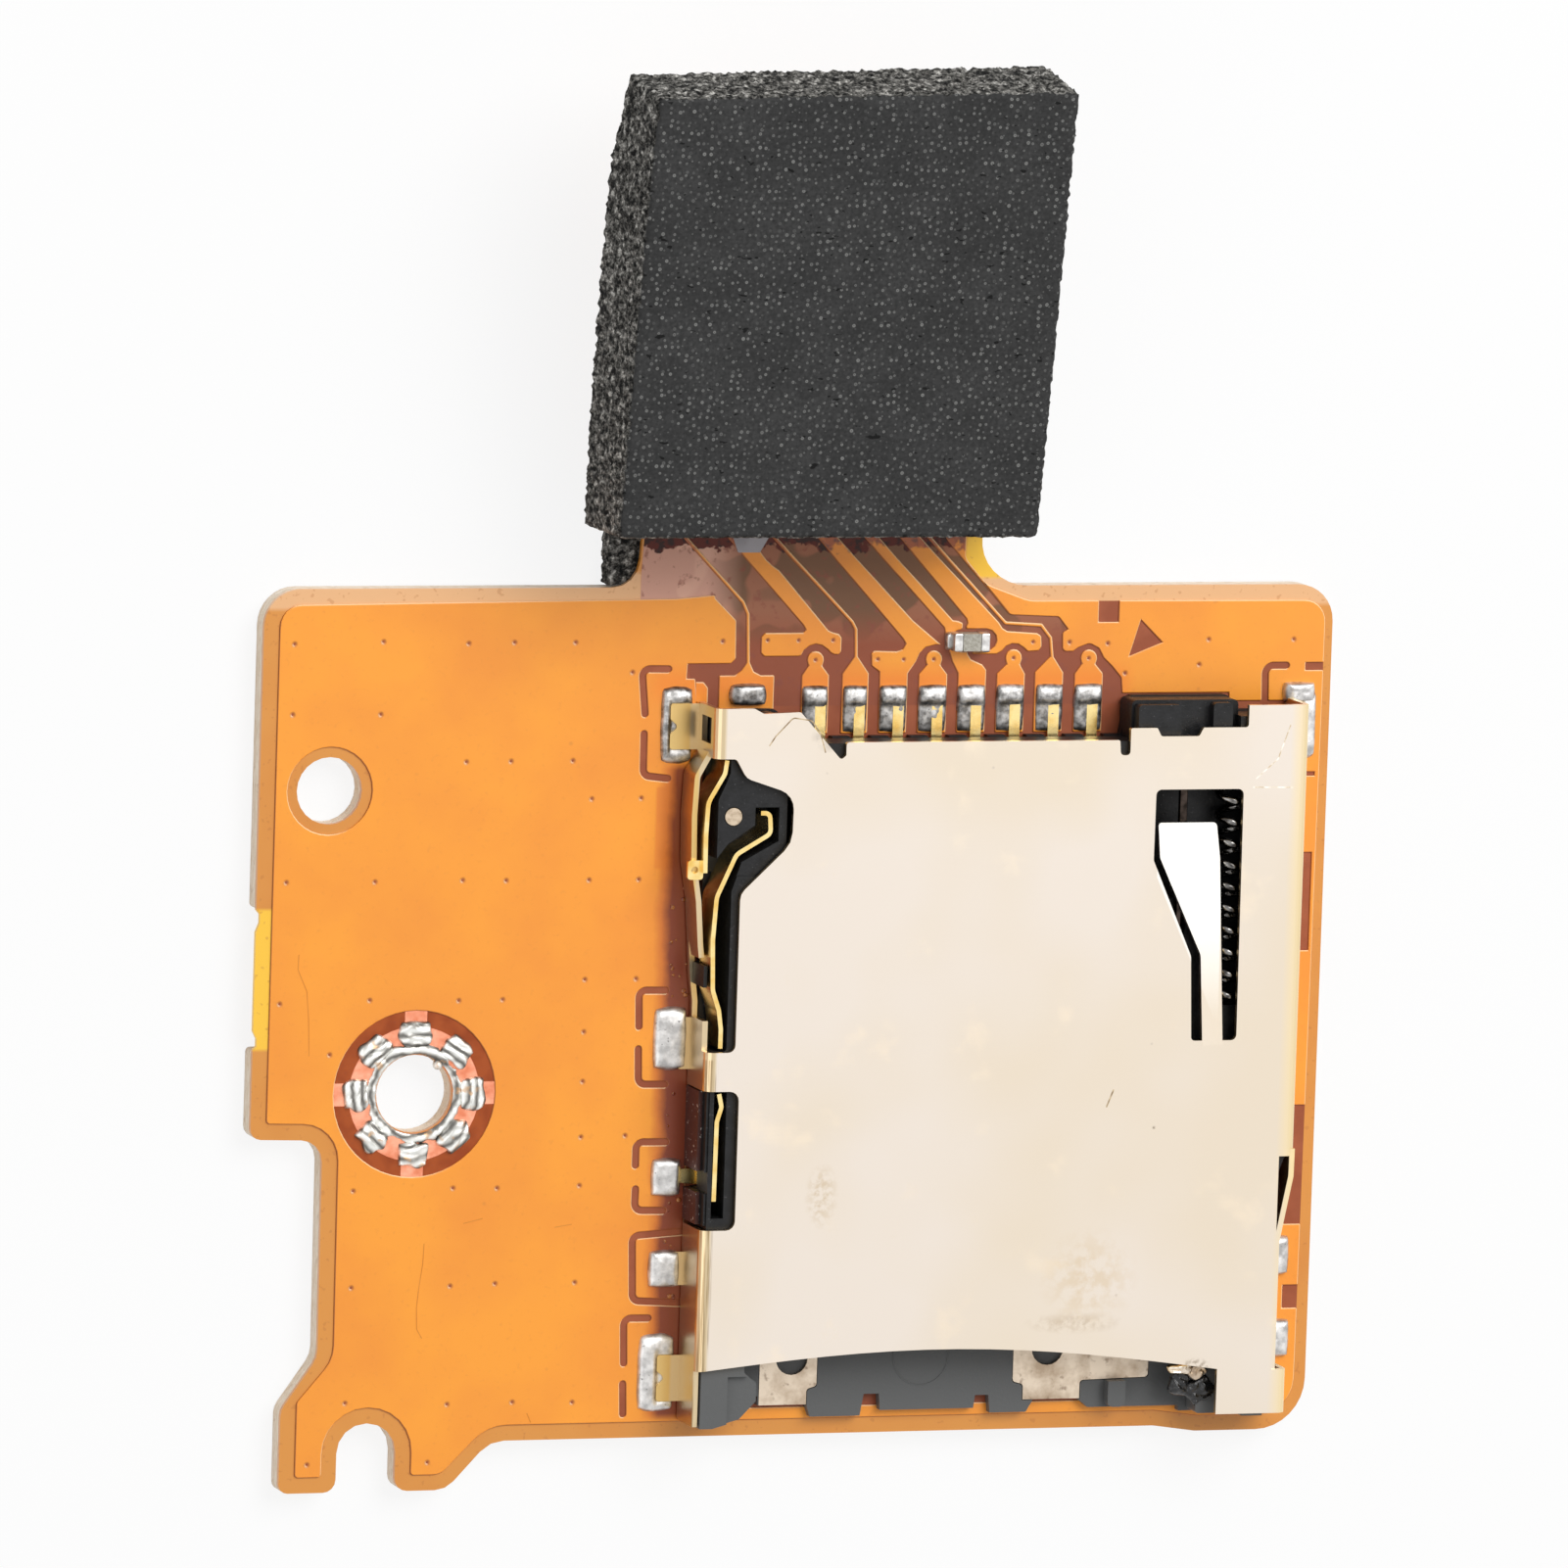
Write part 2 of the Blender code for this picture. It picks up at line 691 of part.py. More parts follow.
def join_rear_walls(base):
    """Rear wall behind the contacts and the cap behind the slider's lane, in which the cam pin turns."""
    wall = rectangle(block_right - 0.6, lane_right, socket_rear - 0.42, socket_rear - 0.03)
    join_plate(base, "rear_wall", wall, base_foot, wall_top)
    cap = rectangle(cap_left + 0.03, cap_right - 0.03, lane_rear + 0.05, cap_rear - 0.03, 0.15)
    join_plate(base, "lane_cap", cap, base_foot, below_pin)
    ridge_right = pin_pivot[0] - pin_wire / 2 - 0.08
    ridge = rectangle(cap_left + 0.1, ridge_right, lane_rear + 0.1, cap_rear - 0.12, 0.1)
    join_plate(base, "lane_cap_ridge", ridge, base_foot, wall_top - 0.04)
    stud = rectangle(cap_right - 0.85, cap_right - 0.3, lane_rear + 0.8, cap_rear - 0.08, 0.1)
    join_plate(base, "lane_cap_stud", stud, base_foot, wall_top - 0.1)
    hole = circle(*pin_pivot, pin_wire / 2 + seat_gap, 12)
    cut_plate(base, "pin_hole", hole, pin_level - 0.5, wall_top + 0.2)


def build_block_pin():
    """Metal pin with a flat round end, seated in the corner block."""
    outline = circle(*block_pin, block_pin_radius)
    pin = plate("block_pin", outline, wall_top - 0.62, wall_top - 0.02, tin_bronze)
    round_edges(pin, 0.03, segments=1)


def build_floor_plate():
    holes = [circle(-4.12, -11.64, 0.45, 20), circle(3.15, -11.52, 0.45, 20)]
    low = floor_top - 0.12
    plate("floor_plate", fork_outline(0), low, floor_top, tin_bronze, holes)


def build_contacts():
    """Eight sprung contacts: solder tail, run along the floor, and a crest that presses on the card."""
    metal = 0.12
    rest = base_low + metal / 2
    path = fillet(
        [
            (socket_rear + 0.88, rest, 0),
            (socket_rear - 1.2, rest, 0.6),
            (contact_anchor + 0.85, floor_top + 0.42, 0.4),
            (contact_anchor, floor_top + 0.12, 0),
        ],
        closed=False,
    )
    for i in range(contact_count):
        x = (i - (contact_count - 1) / 2) * contact_pitch
        half = contact_width / 2
        strip(f"card_contact_{i + 1}", path, "X", x - half, x + half, metal, gold_plate)


# Side springs of the card switch, and the span and reach of the guide spring's solder foot
leaf_sheet = 0.12
guide_foot_span = (-6.88, -6.42)
guide_foot_reach = 0.5
band_top = board_top + 1.07


def build_card_switch():
    """The moving leaf hooks into the card's path, and the fixed leaf stands beside it outside the base."""
    base = bpy.data.objects["socket_base"]
    low = floor_top + 0.12
    hook = [
        (base_left + 1.21, 3.3, 0),
        (base_left + 1.46, 3.3, 0.14),
        (base_left + 1.5, 2.75, 0.2),
        (base_left + 0.56, 2.2, 0.3),
        (base_left + 0.04, 1.05, 0.5),
        (base_left - 0.03, -0.1, 0),
        (base_left + 0.01, -1.45, 0.4),
        (base_left + 0.2, -2.0, 0.3),
        (base_left + 0.27, -2.5, 0),
        (base_left + 0.27, -3.02, 0),
    ]
    high = wall_top - 0.08
    strip("card_switch_moving_leaf", fillet(hook, closed=False), "Z", low, high, leaf_sheet, gold_plate)

    # The corner block is hollowed out for the hook, and its outside for the fixed leaf.
    hook_room = [
        (base_left - 0.3, block_front - 0.4, 0),
        (base_left + 0.42, block_front - 0.4, 0),
        (base_left + 0.7, 2.0, 0),
        (base_left + 1.71, 2.55, 0),
        (base_left + 1.71, 3.46, 0),
        (base_left + 1.04, 3.46, 0),
        (base_left + 1.04, 2.98, 0),
        (base_left + 0.31, 2.5, 0),
        (base_left - 0.3, 1.7, 0),
    ]
    cut_plate(base, "hook_room", fillet(hook_room), low - 0.02, wall_top + 0.2)
    moving_room = rectangle(base_left - 0.3, base_left + 0.12, -2.35, 1.75)
    cut_plate(base, "leaf_room", moving_room, low - 0.02, wall_top + 0.2)

    # A post stands outside the moving leaf, on a ledge that passes over the end of the cover's band.
    step = low - 0.02
    post = [
        (base_left + 0.25, floor_top - 0.1),
        (base_left + 0.25, step),
        (cover_left + 0.1, step),
        (cover_left + 0.1, wall_top - 0.25),
        (cover_left, wall_top - 0.25),
        (cover_left, wall_low + 0.22),
        (base_left - 0.09, wall_low + 0.22),
        (base_left - 0.09, floor_top - 0.1),
    ]
    combine(base, prism("socket_base_band_post", post, "Y", -1.4, -0.82), "UNION")
    leaf_room = [
        (base_left - 0.3, 1.6, 0),
        (base_left - 0.17, 1.6, 0),
        (base_left - 0.17, 3.3, 0),
        (base_left + 0.2, 4.1, 0),
        (base_left + 0.32, 4.4, 0),
        (base_left + 0.32, 4.85, 0),
        (base_left - 0.3, 4.85, 0),
    ]
    cut_plate(base, "fixed_leaf_room", fillet(leaf_room), board_top + 0.3, wall_top + 0.2)

    # Fixed leaf, with a small square tab at its end that lies over the cover's band
    fixed = [
        (base_left + 0.23, 4.72, 0),
        (base_left + 0.18, 4.36, 0.3),
        (base_left - 0.26, 3.6, 0.5),
        (base_left - 0.3, 2.7, 0),
        (base_left - 0.29, 1.7, 0),
    ]
    fixed_path = fillet(fixed, closed=False)
    fixed_low = board_top + 0.35
    fixed_high = wall_top - 0.12
    leaf = strip("card_switch_fixed_leaf", fixed_path, "Z", fixed_low, fixed_high, leaf_sheet, gold_plate)
    tab = rectangle(base_left - 0.72, base_left - 0.29, 1.5, 2.02, 0.08)
    eye = circle(base_left - 0.52, 1.76, 0.1, 10)
    tab_low = band_top + seat_gap
    join_plate(leaf, "tab", tab, tab_low, tab_low + leaf_sheet, [eye])

    guide = [
        (base_left + 0.22, -7.15, 0),
        (base_left + 0.24, -5.0, 0.3),
        (base_left + 0.36, -4.6, 0.2),
        (base_left + 0.28, -4.25, 0),
    ]
    guide_path = fillet(guide, closed=False)
    spring = strip("side_guide_spring", guide_path, "Z", floor_top + 0.03, high, leaf_sheet, gold_plate)
    join_guide_foot(spring)


def join_guide_foot(spring):
    """The guide spring's own solder foot runs out to the board between the base's two side posts."""
    front, rear = guide_foot_span
    leaf = base_left + 0.23
    low = board_top + seat_gap
    half = leaf_sheet / 2
    leg = rectangle(leaf - half + 0.01, leaf + half - 0.01, front, rear)
    join_plate(spring, "leg", leg, low + 0.02, floor_top + 0.2)
    outline = [(leaf, front, 0), (leaf, rear, 0), (cover_left - guide_foot_reach, rear - 0.08, 0.05)]
    outline.append((cover_left - guide_foot_reach, front + 0.08, 0.05))
    join_plate(spring, "foot", fillet(outline), low, low + leaf_sheet)
    base = bpy.data.objects["socket_base"]
    gap = rectangle(base_left - 0.3, leaf + half + 0.04, front - 0.04, rear + 0.04)
    cut_plate(base, "guide_foot_gap", gap, low - 0.2, floor_top + 0.3)


# Slider, its coil spring and the cam pin
slider_travel = 3.4
slider_clearance = 0.08
slider_low = floor_top + 0.03
slider_high = below_pin
slider_front = floor_front - 0.15
spring_seat = -2.1
spring_radius = 0.4
spring_wire = 0.1
spring_rear = lane_rear - spring_wire - 0.04
spring_turns = 10.5
pin_pivot = (lane_right - 2.2, lane_rear + 0.45)
pin_tip = (pin_pivot[0], 0.0)
pin_swing = math.radians(4.0)
cam_track = 0.5


def build_slider():
    """Slider with its heart-shaped cam track, seen round the cover's tongue."""
    left = slot_right + slider_clearance
    right = lane_right - slider_clearance
    arm_right = left + 1.5
    corners = [
        (right - 1.1, slider_front, 0.1),
        (right, slider_front, 0.1),
        (right, spring_seat, 0),
        (arm_right, spring_seat, 0),
        (arm_right, 0.85, 0.2),
        (left, 0.85, 0.2),
        (left, -6.4, 0.2),
        (right - 1.1, -7.0, 0.3),
    ]
    slider = plate("card_slider", fillet(corners), slider_low, slider_high, black_polymer)
    catch = rectangle(left - 0.55, left + 0.3, -3.6, -2.7, 0.1)
    combine(slider, plate("card_slider_catch", catch, floor_top + 0.5, floor_top + 1.1), "UNION")

    # The track's insertion branch leans by the pin's swing over the slider's travel.
    depth = slider_high - 0.45
    x, y = pin_tip
    reach = pin_pivot[1] - y
    lean = reach * math.tan(pin_swing)
    half = cam_track / 2
    branch = [
        (x - half, y + 0.3, 0.2),
        (x - half - lean, y - slider_travel - 0.3, 0.2),
        (x + half - lean, y - slider_travel - 0.3, 0.2),
        (x + half, y + 0.3, 0.2),
    ]
    combine(slider, plate("card_slider_track", fillet(branch), depth, slider_high + 0.2), "DIFFERENCE")


def build_slider_spring():
    """Compression coil along Y, drawn as a helix of straight steps."""
    per_turn = 10
    centre_x = lane_right - 0.67
    centre_z = floor_top + 0.05 + spring_radius + spring_wire
    start = spring_seat + spring_wire + 0.03
    length = spring_rear - start
    curve = bpy.data.curves.new("slider_spring", "CURVE")
    curve.dimensions = "3D"
    curve.bevel_depth = spring_wire
    curve.bevel_resolution = 1
    curve.use_fill_caps = True
    spline = curve.splines.new("POLY")
    count = int(spring_turns * per_turn) + 1
    spline.points.add(count - 1)
    for k, point in enumerate(spline.points):
        angle = 2 * math.pi * k / per_turn
        x = centre_x + spring_radius * math.cos(angle)
        z = centre_z + spring_radius * math.sin(angle)
        point.co = (x, start + length * k / (count - 1), z, 1)
    drawn = bpy.data.objects.new("outline", curve)
    helpers.objects.link(drawn)
    graph = bpy.context.evaluated_depsgraph_get()
    mesh = bpy.data.meshes.new_from_object(drawn.evaluated_get(graph))
    bpy.data.objects.remove(drawn)
    bm = bmesh.new()
    bm.from_mesh(mesh)
    bmesh.ops.remove_doubles(bm, verts=bm.verts, dist=0.0005)
    add_object("slider_spring", finish_mesh(bm, "slider_spring"), spring_steel)


def build_cam_pin():
    """Bent wire: its rear leg turns in the base's cap, and its front leg follows the slider's track."""
    pivot_x, pivot_y = pin_pivot
    top = pin_level
    leg = slider_high - 0.33
    points = [
        (pivot_x, pivot_y, top - 0.42),
        (pivot_x, pivot_y, top),
        (pin_tip[0], pin_tip[1], top),
        (pin_tip[0], pin_tip[1], leg),
    ]
    curve = bpy.data.curves.new("cam_pin", "CURVE")
    curve.dimensions = "3D"
    curve.bevel_depth = pin_wire / 2
    curve.bevel_resolution = 2
    curve.use_fill_caps = True
    spline = curve.splines.new("POLY")
    spline.points.add(len(points) - 1)
    for point, (x, y, z) in zip(spline.points, points):
        point.co = (x - pivot_x, y - pivot_y, z - top, 1)
    drawn = bpy.data.objects.new("outline", curve)
    helpers.objects.link(drawn)
    graph = bpy.context.evaluated_depsgraph_get()
    mesh = bpy.data.meshes.new_from_object(drawn.evaluated_get(graph))
    bpy.data.objects.remove(drawn)
    bm = bmesh.new()
    bm.from_mesh(mesh)
    bmesh.ops.remove_doubles(bm, verts=bm.verts, dist=0.0005)
    pin = add_object("cam_pin", finish_mesh(bm, "cam_pin"), spring_steel)
    pin.location = (pivot_x * MM, pivot_y * MM, top * MM)


def build_cover():
    """One folded sheet: two side walls and a top with its arc, windows, tongue and solder feet."""
    half = sheet / 2
    fold = 0.17
    front = floor_front - 0.15
    rear = socket_rear + 0.94
    profile = fillet(
        [
            (cover_left + half, wall_low, 0),
            (cover_left + half, cover_top - half, fold),
            (cover_right - half, cover_top - half, fold),
            (cover_right - half, wall_low, 0),
        ],
        closed=False,
    )
    cover = strip("socket_cover", profile, "Y", front, rear, sheet, tin_bronze)
    cut_mouth(cover, front)
    cut_rear_edge(cover, rear)
    cut_side_windows(cover)
    join_band(cover)
    join_right_spring(cover)
    join_tongue(cover)

    # Slot in the rear left wall
    level = board_top + 0.85
    slot_path = [(cover_left - 0.3, level), (cover_left + 0.4, level)]
    combine(cover, strip("socket_cover_side_slot", slot_path, "Y", 5.15, 5.85, 0.8), "DIFFERENCE")
    join_feet(cover)


def cut_mouth(cover, front):
    """A shallow arc across the front, with the left wall and the right tab left standing."""
    left = cover_left + 0.32
    tab_left = lane_right - 0.82
    ends = (floor_front + 1.36, floor_front + 1.16)
    middle = floor_front + 1.86
    arc = []
    for k in range(17):
        t = k / 16
        chord = ends[0] + (ends[1] - ends[0]) * t
        rise = (middle - (ends[0] + ends[1]) / 2) * math.sin(math.pi * t)
        arc.append(Vector((left - 0.4 + (tab_left - left + 0.4) * t, chord + rise)))
    mouth = [Vector((left - 0.4, front - 0.5)), Vector((tab_left, front - 0.5)), *reversed(arc)]
    cut_plate(cover, "mouth", mouth, cover_under - 0.12, above_cover)
    lip = rectangle(tab_left - 0.1, cover_right + 1, front - 0.5, floor_front - 0.08)
    cut_plate(cover, "right_tab_end", lip, wall_low - 1, above_cover)


def cut_rear_edge(cover, rear):
    """The rear edge steps in behind the contact row, and clears the lane's cap."""
    corners = [
        (cover_left + 1.0, rear + 1, 0),
        (cover_left + 1.02, rear + 0.02, 0),
        (cover_left + 1.32, rear - 0.14, 0.05),
        (cover_left + 2.35, rear - 0.1, 0.1),
        (-3.74, socket_rear - 0.45, 0.08),
        (-3.6, socket_rear - 0.33, 0.05),
        (-3.6, socket_rear + 0.02, 0.08),
        (4.13, socket_rear + 0.02, 0.05),
        (4.16, socket_rear - 0.39, 0.1),
        (4.43, socket_rear - 0.39, 0.1),
        (4.43, socket_rear + 0.34, 0.05),
        (5.18, socket_rear + 0.34, 0.05),
        (5.3, socket_rear + 0.11, 0.08),
        (6.38, socket_rear + 0.11, 0.08),
        (6.5, socket_rear + 0.34, 0.05),
        (cap_right + 0.06, socket_rear + 0.34, 0.08),
        (cap_right + 0.06, rear + 1, 0),
    ]
    cut_plate(cover, "rear_edge", fillet(corners), wall_low - 1, above_cover)


def cut_side_windows(cover):
    """Windows beside the card switch and the guide spring, which reach over the fold into the wall."""
    outside = cover_left - 0.6
    switch_window = [
        (outside, -3.1, 0),
        (base_left + 0.61, -3.1, 0.2),
        (base_left + 0.61, 1.17, 0.4),
        (base_left + 2.02, 2.52, 0.7),
        (base_left + 2.04, 3.82, 0.55),
        (base_left + 0.69, 4.27, 0.35),
        (base_left + 0.39, 4.79, 0.12),
        (outside, 4.79, 0),
    ]
    cut_plate(cover, "switch_window", fillet(switch_window), cover_top - 0.42, above_cover)
    wall_gap = rectangle(outside, cover_left + 0.5, -2.3, 4.79)
    cut_plate(cover, "switch_wall_gap", wall_gap, wall_low - 1, cover_top - 0.3)
    guide_window = [
        (outside, -7.9, 0),
        (base_left + 0.75, -7.9, 0.25),
        (base_left + 0.75, -4.15, 0.25),
        (outside, -4.15, 0),
    ]
    cut_plate(cover, "guide_window", fillet(guide_window), wall_low - 1, above_cover)


def join_band(cover):
    """Bowed band along the open side, lower than the wall, which ends in a thin strip."""
    centre = cover_left + sheet / 2
    band = [
        (centre, 4.9, 0),
        (centre - 0.36, 4.25, 0.3),
        (centre - 0.41, 3.2, 0.5),
        (centre - 0.385, 1.9, 0.5),
        (centre - 0.22, 0.9, 0.6),
        (centre - 0.13, -0.3, 0),
        (centre - 0.09, -0.62, 0),
    ]
    upper = strip("socket_cover_band", fillet(band, closed=False), "Z", wall_low, band_top, sheet)
    combine(cover, upper, "UNION")
    tail = [
        (centre - 0.135, -0.25, 0),
        (centre - 0.09, -1.1, 0.5),
        (centre + 0.01, -1.9, 0),
        (centre + 0.01, -2.5, 0),
    ]
    low = wall_low + 0.01
    lower = strip("socket_cover_band_end", fillet(tail, closed=False), "Z", low, wall_low + 0.2, sheet)
    combine(cover, lower, "UNION")


def join_right_spring(cover):
    """Along the front half of the right side the wall is cut free and bent inwards."""
    half = sheet / 2
    inset = 0.46
    relief = rectangle(cover_right - inset, cover_right + 1, floor_front + 1.12, -6.15)
    cut_plate(cover, "right_relief", relief, wall_low - 1, above_cover)
    bend = [
        (cover_right - half, -5.95, 0),
        (cover_right - half - 0.01, -6.7, 0.5),
        (cover_right - inset + half + 0.07, -7.9, 0.5),
        (cover_right - inset + half - 0.04, -8.5, 0.5),
        (cover_right - inset + half - 0.04, floor_front + 1.0, 0),
    ]
    low = wall_low + 0.03
    wall = strip("socket_cover_right_spring", fillet(bend, closed=False), "Z", low, cover_top - 0.03, sheet)
    combine(cover, wall, "UNION")


tongue_root = -2.85
tongue_root_left = lane_right - 1.58
tongue_drop = math.radians(1.6)


def join_tongue(cover):
    """Window over the slider, and the tongue that leans down into it and holds the cam pin."""
    window = [
        (tongue_root_left - 0.32, tongue_root - 0.11, 0.1),
        (lane_right - 0.61, tongue_root - 0.11, 0.15),
        (lane_right - 0.65, 3.87, 0.15),
        (lane_right - 3.14, 3.87, 0.15),
        (lane_right - 3.15, 1.95, 0.2),
        (lane_right - 1.99, -0.65, 0.3),
    ]
    cut_plate(cover, "slider_window", fillet(window), cover_under - 0.3, above_cover)
    corners = [
        (tongue_root_left, tongue_root - 0.24, 0),
        (lane_right - 1, tongue_root - 0.24, 0),
        (lane_right - 1.21, 2.0, 0),
        (lane_right - 1.33, 2.95, 0.12),
        (lane_right - 2.99, 2.95, 0.08),
        (lane_right - 2.92, 2.0, 0.3),
        (lane_right - 1.69, -0.64, 0.4),
    ]
    bm = draw_plate(fillet(corners), cover_under + 0.002, cover_top - 0.002)
    turn = Matrix.Rotation(-tongue_drop, 4, "X")
    pivot = Vector((0, tongue_root, (cover_top + cover_under) / 2))
    drop = Matrix.Translation(pivot) @ turn @ Matrix.Translation(-pivot)
    bmesh.ops.transform(bm, matrix=drop, verts=bm.verts)
    combine(cover, add_object("socket_cover_tongue", finish_mesh(bm, "socket_cover_tongue")), "UNION")


# Solder feet of the cover: side, front and rear ends, and how far each reaches from the wall
feet = (
    ("left", 4.87, 6.1, 0.8),
    ("left", -3.75, -2.35, 0.3),
    ("left", -9.6, -8.7, 0.3),
    ("left", -12.75, -11.5, 0.62),
    ("right", 5.1, 6.1, 0.3),
    ("right", -9.55, -8.6, 0.25),
    ("right", -11.85, -10.95, 0.3),
)

# Solder joints: outline's left, right, front and rear ends. The guide spring's foot has the third one.
joints = (
    (cover_left - 1.04, cover_left - 0.24, 4.46, 6.57),
    (cover_left - 0.98, cover_left - 0.06, -3.8, -2.06),
    (cover_left - 0.93, cover_left - 0.1, -7.2, -6.16),
    (cover_left - 0.93, cover_left - 0.06, -9.68, -8.65),
    (cover_left - 1.14, cover_left - 0.1, -13.06, -10.91),
    (cover_right + 0.07, cover_right + 0.57, 4.44, 6.5),
    (cover_right - 0.31, cover_right + 0.51, -9.67, -8.55),
    (cover_right - 0.31, cover_right + 0.6, -11.93, -10.86),
)


def foot_outline(side, front, rear, reach, grow=0.0):
    """Foot's outline, from inside the wall to its outer end, which has a round bite on the long feet."""
    wall, sign = (cover_left, -1) if side == "left" else (cover_right, 1)
    if side == "right" and rear < 0:
        wall -= 0.42
    inner = wall - sign * (0.1 if grow == 0 else 0.5)
    outer = wall + sign * (reach + grow)
    front -= grow
    rear += grow
    corners = [(inner, front, 0), (inner, rear, 0), (outer, rear, 0.08)]
    if reach > 0.5:
        middle = (front + rear) / 2
        bite = 0.2 - grow
        corners += [(outer, middle + bite, 0.05), (outer + 0.24, middle, 0.1), (outer, middle - bite, 0.05)]
    corners.append((outer, front, 0.08))
    return fillet(corners)


def join_feet(cover):
    low = board_top + seat_gap
    for number, (side, front, rear, reach) in enumerate(feet, start=1):
        outline = foot_outline(side, front, rear, reach)
        join_plate(cover, f"foot_{number}", outline, low, low + sheet)


def build_foot_solder():
    """Solder round each foot. The long feet stay bare on top, and the short ones are covered."""
    gap = 0.03
    reaches = list(feet)
    reaches.insert(2, ("left", *guide_foot_span, guide_foot_reach))
    for number, ((left, right, front, rear), foot) in enumerate(zip(joints, reaches), start=1):
        covered = foot[3] <= 0.5
        high = board_top + (0.3 if covered else 0.2)
        outline = rectangle(left, right, front, rear, 0.14)
        joint = plate(f"foot_solder_{number}", outline, board_top + 0.01, high, solder)
        round_edges(joint, 0.05, segments=1)
        pocket_top = board_top + seat_gap + sheet + gap if covered else high + 0.1
        cut_plate(joint, "foot_pocket", foot_outline(*foot, grow=gap), board_top - 0.1, pocket_top)


def build_ring_lumps():
    """Eight oval solder lumps round the screw hole, each with its long side along the ring."""
    ring = 1.6
    length = 0.82
    width = 0.58
    height = 0.16
    cut_level = 0.03
    for i in range(8):
        angle = math.radians(45 * i)
        bm = bmesh.new()
        bmesh.ops.create_uvsphere(bm, u_segments=14, v_segments=8, radius=length / 2)
        geometry = bm.verts[:] + bm.edges[:] + bm.faces[:]
        cut = bmesh.ops.bisect_plane(
            bm, geom=geometry, plane_co=(0, 0, cut_level), plane_no=(0, 0, 1), clear_inner=True
        )
        rim = [item for item in cut["geom_cut"] if isinstance(item, bmesh.types.BMEdge)]
        bmesh.ops.edgeloop_fill(bm, edges=rim)
        bmesh.ops.scale(bm, vec=(width / length, 1, 2 * height / length), verts=bm.verts)
        lump = add_object(f"ring_solder_{i + 1}", finish_mesh(bm, f"ring_solder_{i + 1}"), solder)
        x = screw_hole[0] + ring * math.cos(angle)
        y = screw_hole[1] + ring * math.sin(angle)
        lump.location = (x * MM, y * MM, board_top * MM)
        lump.rotation_euler.z = angle
        lump.data.shade_smooth()


def build_capacitor():
    """Chip capacitor 1.0 by 0.5 mm with an end cap on each side."""
    x, y = 0.26, 7.73
    low = board_top + seat_gap
    height = 0.5
    cap = 0.25
    width = 0.5
    body = rectangle(x - 0.5 + cap, x + 0.5 - cap, y - width / 2 + 0.015, y + width / 2 - 0.015)
    plate("capacitor_body", body, low + 0.015, low + height - 0.015, ceramic)
    ends = (("left", x - 0.5, x - 0.5 + cap - 0.01), ("right", x + 0.5 - cap + 0.01, x + 0.5))
    for name, x0, x1 in ends:
        outline = rectangle(x0, x1, y - width / 2, y + width / 2)
        end = plate(f"capacitor_end_{name}", outline, low, low + height, solder)
        round_edges(end, 0.04)


build_board()
build_tail()
build_neck_foam()
build_socket_base()
build_block_pin()
build_floor_plate()
build_contacts()
build_card_switch()
build_slider()
build_slider_spring()
build_cam_pin()
build_cover()
build_foot_solder()
build_ring_lumps()
build_capacitor()
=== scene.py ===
# Looks of a memory card slot board: copper under amber film, solder, plated sheet, gold springs and foam.
# Pieces are modelled with one Blender unit as a millimetre, and finishPiece brings them to metres.
import json
import math

import bpy
from mathutils import Matrix, Vector, noise


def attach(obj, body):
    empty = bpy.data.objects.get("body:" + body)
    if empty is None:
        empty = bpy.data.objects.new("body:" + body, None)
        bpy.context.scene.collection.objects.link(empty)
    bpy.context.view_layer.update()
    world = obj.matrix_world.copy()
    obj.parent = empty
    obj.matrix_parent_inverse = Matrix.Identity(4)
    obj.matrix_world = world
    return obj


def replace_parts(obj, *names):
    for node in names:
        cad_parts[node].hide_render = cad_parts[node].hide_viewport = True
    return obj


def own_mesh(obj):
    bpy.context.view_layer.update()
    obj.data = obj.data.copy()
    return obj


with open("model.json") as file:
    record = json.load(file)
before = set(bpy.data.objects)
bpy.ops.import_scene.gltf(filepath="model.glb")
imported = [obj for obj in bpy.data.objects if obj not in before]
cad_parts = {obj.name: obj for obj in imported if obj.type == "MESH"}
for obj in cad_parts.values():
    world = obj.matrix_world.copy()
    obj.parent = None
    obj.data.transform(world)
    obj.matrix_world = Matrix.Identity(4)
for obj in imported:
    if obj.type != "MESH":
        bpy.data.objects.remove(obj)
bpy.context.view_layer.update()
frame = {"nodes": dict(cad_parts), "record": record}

mm = 0.001
nodes = frame["nodes"]

# Levels and places of the board in millimetres, as the CAD has them
boardTop = 0.70
reliefTop = 0.745  # of the copper's relief, which only this script adds
coverTop = 2.40
screwHole = (-14.85, -4.33)
locatingHole = (-17.43, 3.82)
bend = {"start": 9.35, "radius": 3.0, "slope": math.radians(11.6), "middle": 0.625, "steps": 4}


def srgb(code):
    parts = [int(code[k:k + 2], 16) / 255 for k in (1, 3, 5)]
    linear = [v / 12.92 if v <= 0.04045 else ((v + 0.055) / 1.055) ** 2.4 for v in parts]
    return (*linear, 1.0)


# Modelling helpers

def deselectAll():
    if bpy.context.object and bpy.context.object.mode != "OBJECT":
        bpy.ops.object.mode_set(mode="OBJECT")
    bpy.ops.object.select_all(action="DESELECT")


def activate(piece):
    deselectAll()
    piece.select_set(True)
    bpy.context.view_layer.objects.active = piece


def namePiece(name, material=None):
    piece = bpy.context.active_object
    piece.name = name
    piece.data.name = name
    if material:
        piece.data.materials.clear()
        piece.data.materials.append(material)
    return piece


